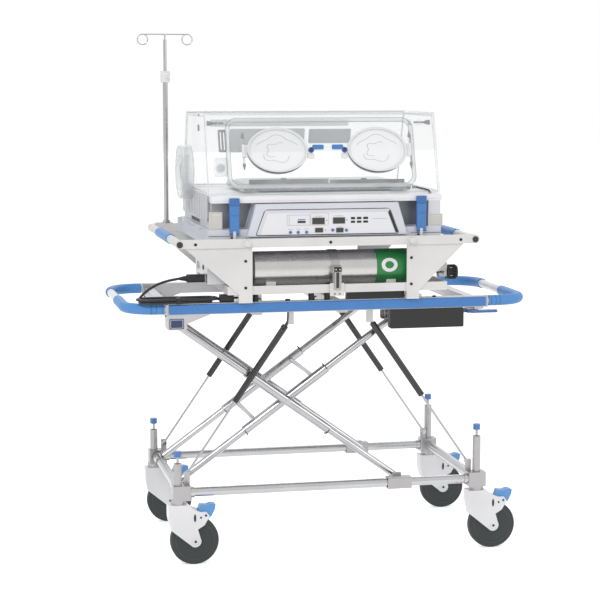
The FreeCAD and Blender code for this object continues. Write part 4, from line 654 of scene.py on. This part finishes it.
# Clamps: lip, pad and white foot
for tag, cx in (("left", -306.0), ("right", 281.0)):
    body = "clamp_" + tag
    boxes("clamp_lip_" + tag, [((cx - 15.7, -299.6, 1106), (cx + 15.7, -286.0, 1128.4))],
          blue_deep, body, bevel=0.0022)
    bm = bmesh.new()
    plate(bm, round_rect(cx - 14.6, cx + 14.6, 1078, 1104.5, 3), 1.8, facing_front(-298.2))
    plate(bm, round_rect(cx - 13.4, cx + 13.4, 1030, 1073, 3), 0.9, facing_front(-298.1))
    piece("clamp_pad_" + tag, bm, blue_gloss, body, smooth=False, bevel=0.0007)
    boxes("clamp_foot_" + tag, [((cx - 4, -296.5, 1003), (cx + 4, -285.3, 1010.2))],
          nylon_white, bevel=0.001)
    boxes("clamp_latch_" + tag, [((cx - 10.5, -292, 1003.5), (cx - 5.5, -285.2, 1010.5))],
          black_matte, bevel=0.0008)

# Console trim, a black strip of painted shadow in the gap round the panel, and the recess beside it with
# painted shade
trim_outer = [(-267.5, 1011), (-240, 1109), (204, 1109), (233.5, 1011)]
trim_inner = [(-243.5, 1013), (-214.5, 1093.2), (178.5, 1093.2), (209.5, 1013)]
shadow_gap_inner = [(-239.0, 1017), (-211.5, 1090.4), (175.5, 1090.4), (205.0, 1017)]
bm = bmesh.new()
frame_ring(bm, soften(trim_outer, 12), soften(trim_inner, 11), 2.4, facing_front(-300.1))
piece("console_trim", bm, shell_plastic, smooth=False, bevel=0.0009)
# A black strip of painted shadow in the gap between the trim and the panel
bm = bmesh.new()
frame_ring(bm, soften(trim_inner, 11), soften(shadow_gap_inner, 10), 0.9, facing_front(-300.1))
piece("console_shadow_gap", bm, black_matte, smooth=False)
# The recess plates carry painted shade in their colour
for tag, outline in (("left", [(-368, 1036), (-266, 1036), (-245, 1110), (-368, 1110)]),
                     ("right", [(231, 1036), (303, 1036), (303, 1110), (209, 1110)])):
    bm = bmesh.new()
    plate(bm, outline, 1.2, facing_front(-245.2))
    piece("recess_" + tag, bm, recess_left if tag == "left" else recess_right, smooth=False)
boxes("ledge_seam", [((-384, -285.9, 1012.6), (-288, -285.1, 1014.0)),
                     ((250, -285.9, 1012.6), (346, -285.1, 1014.0))], seal_dark, smooth=False)
boxes("deck_lip", [((-374, -286.6, 1119), (348, -285.1, 1132))], shell_white, bevel=0.0007)

# Panel: film, frames, windows and keys
panel_y = -304.1
bm = bmesh.new()
sheet = [(-227, 1017.5), (-205, 1081.5), (169.5, 1081.5), (193.5, 1017.5)]
plate(bm, soften(sheet, 5), 0.5, facing_front(panel_y))
piece("panel_sheet", bm, panel_film, smooth=False)
bm = bmesh.new()
edge = soften([(-240, 1016.5), (-212.3, 1090.6), (176.3, 1090.6), (206, 1016.5)], 5)
frame_ring(bm, edge, soften(sheet, 5), 0.4, facing_front(panel_y))
piece("panel_edge", bm, shell_plastic, smooth=False)
# A black strip of painted shade along the panel frame's right edge
bm = bmesh.new()
strip(bm, [(205.0, 1018), (177.0, 1088)], [(196.0, 1018), (171.5, 1080)], 0.6, facing_front(panel_y - 0.5))
piece("panel_edge_painted_shade", bm, black_matte, smooth=False)
panel_y = -304.7
lamp_frame = (-146, -74, 1044, 1076)
group_frame = (-78 + 5, -16, 1043, 1081)


def rect_plates(name, rects, radius, depth, y, look):
    made = bmesh.new()
    for x0, x1, z0, z1 in rects:
        plate(made, round_rect(x0, x1, z0, z1, radius, 3), depth, facing_front(y))
    return piece(name, made, look, smooth=False)


def rect_frames(name, rects, radius, width, depth, y, look):
    made = bmesh.new()
    for x0, x1, z0, z1 in rects:
        frame_ring(made, round_rect(x0, x1, z0, z1, radius, 4),
                   round_rect(x0 + width, x1 - width, z0 + width, z1 - width, radius - width * 0.8, 4),
                   depth, facing_front(y))
    return piece(name, made, look, smooth=False)


rect_frames("lamp_frame", [lamp_frame], 2.4, 0.9, 0.4, panel_y, line_grey)
rect_frames("group_frame", [group_frame], 2.4, 1.1, 0.4, panel_y, line_orange)
windows = [(-67, -29, 1047, 1066), (-2, 35, 1048, 1066), (-58, -34, 1022, 1035), (8, 30, 1021, 1034)]
rect_plates("window_glass", windows, 1.5, 0.7, panel_y, window_dark)
rect_frames("window_rims", [(a - 1.4, b + 1.4, c - 1.4, d + 1.4) for a, b, c, d in windows], 2.4, 1.3, 0.9,
            panel_y, line_grey)
rect_plates("lamp_window", [(-113, -88, 1051, 1058)], 1.0, 0.7, panel_y, window_dark)
rect_plates("lamp_bar", [(-112, -89, 1060.5, 1063.0)], 0.8, 0.5, panel_y, key_blue)
lamp_dots = [(-140.5, -137.5, 1047.5 + 6.4 * i, 1050.0 + 6.4 * i) for i in range(4)]
rect_plates("lamp_dots", lamp_dots, 0.8, 0.5, panel_y, line_grey)
lit_columns = ((54, 67), (73, 87), (93, 108))
lit_rows = ((1060, 1067), (1049, 1055.5))
rect_plates("key_bars", [(a, b, c, d) for a, b in lit_columns for c, d in lit_rows], 0.8, 0.7, panel_y,
            black_matte)
rules = [(-142, -128, 1032.2, 1033.4), (-118, -104, 1032.2, 1033.4), (-92, -78, 1032.2, 1033.4),
         (-60, -36, 1070.5, 1071.7), (2, 30, 1070.5, 1071.7), (-24, -20, 1056, 1060), (39, 43, 1056, 1060),
         (-28, -24, 1026, 1030), (12, 26, 1037.4, 1038.6), (120, 172, 1060.4, 1061.2)]
rect_plates("panel_rules", rules, 0.5, 0.3, panel_y, line_grey)
key_places = ((-135, 1023), (-111, 1023), (-85, 1023), (-3, 1028), (40, 1027))
bm = bmesh.new()
for x, z in key_places:
    turned(bm, (x, panel_y, z), (x, panel_y - 2, z), [(0, 0), (0, 4.2), (0.8, 4.2), (1.4, 3.6), (1.4, 0)], 28)
piece("round_keys", bm, key_blue)
bm = bmesh.new()
for x, z in key_places:
    frame_ring(bm, ellipse(x, z, 5.6, 5.6, 28), ellipse(x, z, 4.8, 4.8, 28), 0.4, facing_front(panel_y))
piece("key_rings", bm, line_grey, smooth=False)

# Vent covers beside the clamps, bare, with a thin border
for tag, (x0, x1, z0, z1, depth) in (("left", (-378, -342, 1034.2, 1086, 38)),
                                     ("right", (311, 352, 1034.2, 1072, 0))):
    bm = bmesh.new()
    if depth:
        add_box(bm, (x0, -285, 1033.2), (x1, -246, z1))
    plate(bm, round_rect(x0, x1, z0, z1, 2), 1.0, facing_front(-285.2))
    piece("vent_" + tag, bm, cream, smooth=False, bevel=0.0006)
    bm = bmesh.new()
    frame_ring(bm, round_rect(x0 + 3, x1 - 3, z0 + 3, z1 - 3, 1.5, 4),
               round_rect(x0 + 3.8, x1 - 3.8, z0 + 3.8, z1 - 3.8, 1.2, 4), 0.3, facing_front(-286.3))
    steps = int((z1 - z0 - 12) / 6)
    for i in range(steps):
        z = z0 + 8 + 6 * i
        add_box(bm, (x0 + 7, -286.6, z), (x1 - 7, -286.2, z + 0.8))
    piece("vent_lines_" + tag, bm, line_grey, smooth=False)
bm = bmesh.new()
end_slots = ((-221, -93, 1051, 1063), (-43, 110, 1037, 1048))
for y0, y1, z0, z1 in end_slots:
    add_box(bm, (-374.5, y0, z0), (-371.1, y1, z1))
piece("end_sockets", bm, black_matte, bevel=0.001)
bm = bmesh.new()
for y0, y1, z0, z1 in end_slots:
    frame_ring(bm, round_rect(y0 - 3, y1 + 3, z0 - 3, z1 + 3, 3), round_rect(y0, y1, z0, z1, 2), 2,
               end_place(-371.1, -1))
piece("end_socket_frames", bm, shell_plastic, smooth=False)

# Bed tray: rolled sides with painted dark reflection lines, end caps, mesh guards along the front
bm = bmesh.new()
for side in (-1, 1):
    plate(bm, round_rect(-251, 285, 1139.4, 1157.6, 8.8, 8), 3.6, facing(side * 155.1, side))
piece("tray_roll", bm, chrome, bevel=0.0014)
# Painted dark reflections: dark lines round the rim and along the middle of each chrome roll
bm = bmesh.new()
for side in (-1, 1):
    frame_ring(bm, round_rect(-250, 284, 1140.2, 1156.8, 8.2, 8),
               round_rect(-248.7, 282.7, 1141.6, 1155.4, 7, 8), 0.5, facing(side * 158.75, side))
    add_box(bm, (-242, side * 158.7, 1152.2), (276, side * 159.1, 1153.2))
piece("tray_roll_dark_reflections", bm, seal_dark, smooth=False)
bm = bmesh.new()
for x, r in ((-244, 4.6), (275, 3.0)):
    turned(bm, (x, -158.7, 1149), (x, -161, 1149), [(0, 0), (0, r), (1.6, r), (2.2, r - 0.8), (2.2, 0)], 24)
piece("tray_end_cap", bm, black_matte)
guards = ((-234, 18, 1176), (24, 265, 1173))
bm = bmesh.new()
for x0, x1, z1 in guards:
    add_box(bm, (x0, -154.5, 1158.1), (x1, -150.5, z1))
    add_box(bm, (x0 + 100, -153.4, z1 - 0.4), (x0 + 118, -152.2, z1 + 4))
piece("mesh_guards", bm, mesh_cloth, bevel=0.0008)
bm = bmesh.new()
for x0, x1, z1 in guards:
    for z in (1160, 1166, z1 - 1.2):
        add_box(bm, (x0 - 0.5, -154.9, z), (x1 + 0.5, -150.1, z + 1.0))
piece("guard_wires", bm, hinge_grey, smooth=False)


# Mattress: a pad inflated a little with cloth pressure

def inflated_pad(name, low, high, corner_r, look, voxel=0.006, cap=0.004):
    made = bmesh.new()
    outline = round_rect(low[0], high[0], low[1], high[1], corner_r, 8)
    plate(made, outline, high[2] - low[2], lambda a, b, level: Vector((a, b, low[2] + level)) * MM)
    pad = piece(name, made, look, smooth=False)
    pad.modifiers.clear()
    remesh = pad.modifiers.new("remesh", "REMESH")
    remesh.mode = "VOXEL"
    remesh.voxel_size = voxel
    apply_modifiers(pad)
    start = [v.co.copy() for v in pad.data.vertices]
    cloth = pad.modifiers.new("cloth", "CLOTH")
    cloth.settings.use_pressure = True
    cloth.settings.uniform_pressure_force = 4.0
    cloth.settings.effector_weights.gravity = 0
    cloth.point_cache.frame_start = 1
    cloth.point_cache.frame_end = 20
    for frame_number in range(1, 21):
        bpy.context.scene.frame_set(frame_number)
    apply_modifiers(pad)
    bpy.context.scene.frame_set(1)
    for vertex, origin in zip(pad.data.vertices, start):
        move = vertex.co - origin
        if move.length > cap:
            vertex.co = origin + move * (cap / move.length)
        vertex.co.z = max(vertex.co.z, low[2] * MM)
    smoother = pad.modifiers.new("smooth", "SUBSURF")
    smoother.levels = 1
    smoother.render_levels = 1
    apply_modifiers(pad)
    for polygon in pad.data.polygons:
        polygon.use_smooth = True
    return pad


def apply_modifiers(obj):
    """Keep the shape that the modifiers give, and drop them."""
    bpy.context.view_layer.update()
    depsgraph = bpy.context.evaluated_depsgraph_get()
    shaped = bpy.data.meshes.new_from_object(obj.evaluated_get(depsgraph), depsgraph=depsgraph)
    obj.modifiers.clear()
    obj.data = shaped


pad = inflated_pad("mattress_pad", (-238, -143, 1142.4), (272, 143, 1163), 16, pad_cloth)
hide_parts("mattress")
seam = []
for a, b in round_rect(-240.5, 274.5, -145.5, 145.5, 15, 5):
    seam.append((a, b, 1153))
wire("mattress_piping", seam, 1.3, pad_cloth, closed=True, resolution=4)

# Carrier frame: screws, end caps and the strap latch's plate
for side in (-1, 1):
    tag = "front" if side < 0 else "back"
    bar_face = side * 321.05
    bm = bmesh.new()
    for x in (-429.7, -13.1, 400.8):
        turned(bm, (x, bar_face, 992.4), (x, bar_face + side * 3, 992.4),
               [(0, 0), (0, 4.6), (1.2, 4.6), (2.4, 3.0), (2.6, 0)], 24)
    for x in (-276, 244):
        for z in (939.2, 857.6):
            turned(bm, (x, side * 316.05, z), (x, side * 320, z),
                   [(0, 0), (0, 4.4), (1.4, 4.4), (2.8, 2.8), (3.0, 0)], 24)
    piece("carrier_screws_" + tag, bm, screw_black)
    bm = bmesh.new()
    for x in (-477.5, 448.1):
        turned(bm, (x, bar_face, 992.5), (x, bar_face + side * 4, 992.5),
               [(0, 0), (0, 9.6), (1.6, 9.6), (2.6, 8.6), (2.6, 4.2), (1.8, 3.6), (1.8, 0)], 32)
    piece("carrier_caps_" + tag, bm, black_gloss)

boxes("latch_plate", [((-14, -316.6, 826), (31, -314.1, 866))], carrier_paint, bevel=0.0009)
bm = bmesh.new()
for x in (1.5, 16.5):
    turned(bm, (x, -316.6, 832.5), (x, -318.4, 832.5),
           [(0, 0), (0, 3.4), (0.9, 3.4), (1.6, 2.2), (1.6, 0)], 20)
piece("latch_plate_screws", bm, hinge_grey)
boxes("latch_inlay", [((4.4, -323.2, 851), (13.6, -322.1, 899))], black_gloss, "strap_lever", bevel=0.0005)
boxes("latch_hinge_cover", [((-2.5, -324.8, 901), (20.5, -322.1, 915))],
      black_matte, "strap_lever", bevel=0.0008)
bm = bmesh.new()
for x in (3, 15):
    turned(bm, (x, -324.8, 908), (x, -326, 908), [(0, 0), (0, 2.0), (0.6, 1.6), (0.6, 0)], 16)
piece("latch_rivets", bm, mark_white, "strap_lever")

# Cylinder: green band with a plain ring mark
cylinder_y, cylinder_z, band_r = -238, 907, 54.8
bm = bmesh.new()
turned(bm, (141, cylinder_y, cylinder_z), (262, cylinder_y, cylinder_z),
       closed_ring(119, 54.7, 53.8, 0.3), 96)
piece("cylinder_band", bm, oxygen_green)


def on_cylinder(along, around, level):
    angle = around / band_r
    radius = band_r + level
    return Vector((along, cylinder_y - radius * math.cos(angle), cylinder_z + radius * math.sin(angle))) * MM


bm = bmesh.new()
frame_ring(bm, ellipse(181, 9, 25.5, 22, 64), ellipse(181, 9, 14, 11.5, 64), 0.35, on_cylinder)
piece("cylinder_ring_mark", bm, mark_white, smooth=False)
bm = bmesh.new()
turned(bm, (-252, cylinder_y, cylinder_z), (-240, cylinder_y, cylinder_z),
       closed_ring(10, 54.5, 53.9, 0.3), 96)
piece("cylinder_foot_band", bm, seal_dark)

# Valve wheel ribs
bm = bmesh.new()
for i in range(20):
    a = TAU * i / 20
    spin = Matrix.Translation(Vector((0, -0.238, 0.884))) @ Matrix.Rotation(a, 4, "X") @ \
        Matrix.Translation(Vector((0, 0.238, -0.884)))
    add_box(bm, (384, -239.4, 905.0), (409, -236.6, 907.2), spin)
piece("valve_wheel_ribs", bm, black_matte, "knob", bevel=0.0004)
bm = bmesh.new()
slab(bm, [(326, -262, 884), (358, -262, 884), (356, -262, 920)], (0, 14, 0))
piece("valve_guard", bm, black_matte, smooth=False)

# Power module end: sockets, switch and vents
bm = bmesh.new()
for y, z, r in ((-80, 910, 8.5), (-186, 910, 8.5)):
    turned(bm, (-385.1, y, z), (-388, y, z),
           [(0, 0), (0, r), (1.6, r), (2.4, r - 1.4), (2.4, r * 0.5), (1, r * 0.4), (1, 0)], 28)
piece("module_sockets", bm, black_gloss)
bm = bmesh.new()
add_box(bm, (-387, -252, 868), (-385.1, -206, 894))
for i in range(6):
    add_box(bm, (-386.2, -200 + i * 22, 874), (-385.1, -188 + i * 22, 877))
    add_box(bm, (-386.2, -200 + i * 22, 880), (-385.1, -188 + i * 22, 883))
piece("module_vents", bm, dark_grey, smooth=False, bevel=0.0004)

# Trolley: grip rings, plate at the left end, pins and hook
grip_y, grip_z = -277.5, 795
pin_y, rail_top = -276, 811.2
bm = bmesh.new()
for way, places in ((-2, (-526, -545, -561)), (2, (512, 527, 540))):
    for x in places:
        turned(bm, (x, grip_y, grip_z), (x + way, grip_y, grip_z), closed_ring(1.6, 17.0, 16.2, 0.3), 40)
piece("grip_rings", bm, blue_deep)
bm = bmesh.new()
plate(bm, round_rect(-506.5, -462, 734, 766, 4), 1.0, facing_front(-291.1))
piece("end_plate", bm, navy, smooth=False, bevel=0.0004)
bm = bmesh.new()
frame_ring(bm, round_rect(-503.5, -465, 737, 763, 3), round_rect(-502.3, -466.2, 738.2, 761.8, 2.4), 0.3,
           facing_front(-292.2))
piece("end_plate_border", bm, mark_white, smooth=False)
bm = bmesh.new()
for x, profile in ((-56, [(0, 0), (0, 3.2), (9, 3.2), (9, 9), (12, 9), (12, 0)]),
                   (-138, [(0, 0), (0, 8), (4, 8), (4.6, 6.8), (4.6, 0)]),
                   (330, [(0, 0), (0, 6), (3, 6), (3.6, 5), (3.6, 0)])):
    turned(bm, (x, pin_y, rail_top), (x, pin_y, rail_top + 4), profile, 20)
piece("rail_pins", bm, screw_black)
hook_line = ((-136, 781), (-136, 768), (-137, 750), (-140, 731), (-148, 721), (-156, 725), (-157, 733))
wire("rail_hook", [(x, -272, z) for x, z in hook_line], 2.6, black_matte)

# Legs: dark rings at the ends of the sleeves
leg_dir = Vector((346, 0, 262)).normalized()
crossing = Vector((-127, 0, 487))
sleeve_half = 163.2
leg_a_y, leg_b_y = 186, 219
for body, y, mirrored in (("leg_a", leg_a_y, 1), ("leg_b", leg_b_y, -1)):
    axis = Vector((leg_dir.x, 0, leg_dir.z * mirrored))
    bm = bmesh.new()
    for side in (-1, 1):
        for way in (-1, 1):
            at = crossing + Vector((0, side * y, 0)) + axis * way * sleeve_half
            turned(bm, at, at - axis * way * 4, closed_ring(3.2, 15.4, 14.4, 0.4), 32)
    piece("sleeve_ends_" + body, bm, seal_dark, body)

# Casters: fork slots, pins, axle sockets and tyre beads
axle_left, axle_right, axle_z = -433, 525, 75
caster_y = 275
fork_face, tyre_face, bolt_face = 25.1, 16.0, 29.1
bead_outer, bead_inner = 60.5, 58.5
for tag, (end, side) in {"front_left": (-1, -1), "front_right": (1, -1), "back_left": (-1, 1),
                         "back_right": (1, 1)}.items():
    axle_x = axle_left if end < 0 else axle_right
    cy = side * caster_y
    bm = bmesh.new()
    for way in (-1, 1):
        face = cy + way * fork_face
        plate(bm, ellipse(axle_x - 1, 148, 3.6, 12.5, 28), 0.5, facing(face, way))
        for dx, dz, r in ((17.5, 74, 3.2), (33, 80, 3.6)):
            turned(bm, (axle_x + dx, face, axle_z + dz), (axle_x + dx, face + way, axle_z + dz),
                   [(0, 0), (0, r), (0.5, r), (0.8, 0)], 20)
        turned(bm, (axle_x, cy + way * bolt_face, axle_z), (axle_x, cy + way * 30, axle_z),
               [(0, 0), (0, 4.4), (0.4, 4.4), (0.4, 0)], 6)
    piece("fork_marks_" + tag, bm, black_matte, "fork_" + tag, smooth=False)
    bm = bmesh.new()
    for way in (-1, 1):
        face = cy + way * tyre_face
        frame_ring(bm, ellipse(axle_x, axle_z, bead_outer, bead_outer, 64),
                   ellipse(axle_x, axle_z, bead_inner, bead_inner, 64), 0.7, facing(face, way))
    piece("wheel_beads_" + tag, bm, hub_grey, "wheel_" + tag, smooth=False)

# Infusion pole: pale collar over the clamp
bm = bmesh.new()
turned(bm, (-428, 314, 1474.6), (-428, 314, 1511.6), closed_ring(36.8, 15.6, 14.8, 1.2), 40)
turned(bm, (-428, 299, 1493), (-428, 292, 1493), knob_profile(7, 5), 24)
piece("pole_collar", bm, nylon_white)

# Studio

world_light = 0.72
floor_glow = 0.52

floor = bpy.data.meshes.new("floor")
floor.from_pydata([(-30, -30, 0), (30, -30, 0), (30, 30, 0), (-30, 30, 0)], [], [(0, 1, 2, 3)])
floor_obj = bpy.data.objects.new("floor", floor)
bpy.context.collection.objects.link(floor_obj)


def seen_share(nodes, links):
    """Socket that is 1 for rays from the camera, a mirror or clear plastic, and 0 for the rest."""
    path = nodes.new("ShaderNodeLightPath")
    first = nodes.new("ShaderNodeMath")
    first.operation = "MAXIMUM"
    links.new(path.outputs["Is Camera Ray"], first.inputs[0])
    links.new(path.outputs["Is Glossy Ray"], first.inputs[1])
    second = nodes.new("ShaderNodeMath")
    second.operation = "MAXIMUM"
    links.new(first.outputs[0], second.inputs[0])
    links.new(path.outputs["Is Transmission Ray"], second.inputs[1])
    return second.outputs[0]


# The floor takes the shadow, and looks white to the camera
floor_look = shade("floor_pale", (0.90, 0.90, 0.90), 0.80, spread=0.005, grain=30)
floor_nodes = floor_look.node_tree.nodes
floor_links = floor_look.node_tree.links
glow = floor_nodes.new("ShaderNodeEmission")
glow_strength = floor_nodes.new("ShaderNodeMath")
glow_strength.operation = "MULTIPLY"
glow_strength.inputs[1].default_value = floor_glow
floor_links.new(seen_share(floor_nodes, floor_links), glow_strength.inputs[0])
floor_links.new(glow_strength.outputs[0], glow.inputs["Strength"])
joined = floor_nodes.new("ShaderNodeAddShader")
floor_links.new(floor_nodes["Principled BSDF"].outputs[0], joined.inputs[0])
floor_links.new(glow.outputs[0], joined.inputs[1])
floor_links.new(joined.outputs[0], floor_nodes["Material Output"].inputs["Surface"])
floor.materials.append(floor_look)

world = bpy.data.worlds.new("studio")
bpy.context.scene.world = world
world.use_nodes = True
world_nodes = world.node_tree.nodes
world_links = world.node_tree.links
world_nodes["Background"].inputs["Color"].default_value = (1, 1, 1, 1)
level = world_nodes.new("ShaderNodeMapRange")
level.inputs["To Min"].default_value = world_light
level.inputs["To Max"].default_value = 1.0
world_links.new(seen_share(world_nodes, world_links), level.inputs["Value"])
world_links.new(level.outputs["Result"], world_nodes["Background"].inputs["Strength"])


def area_light(name, location, target, size, power):
    data = bpy.data.lights.new(name, "AREA")
    data.shape = "RECTANGLE"
    data.size, data.size_y = size
    data.energy = power
    obj = bpy.data.objects.new(name, data)
    obj.location = location
    obj.rotation_euler = (Vector(target) - Vector(location)).to_track_quat("-Z", "Y").to_euler()
    bpy.context.collection.objects.link(obj)


area_light("key_light", (-2.6, -3.4, 3.6), (0, 0, 0.8), (2.2, 1.6), 62)
area_light("fill_light", (3.4, -2.6, 2.4), (0, 0, 0.7), (2.4, 1.8), 22)
area_light("back_light", (0.5, 3.6, 3.2), (0, 0, 0.9), (3.0, 1.4), 26)

scene = bpy.context.scene
scene.view_settings.view_transform = "Standard"
scene.view_settings.look = "None"
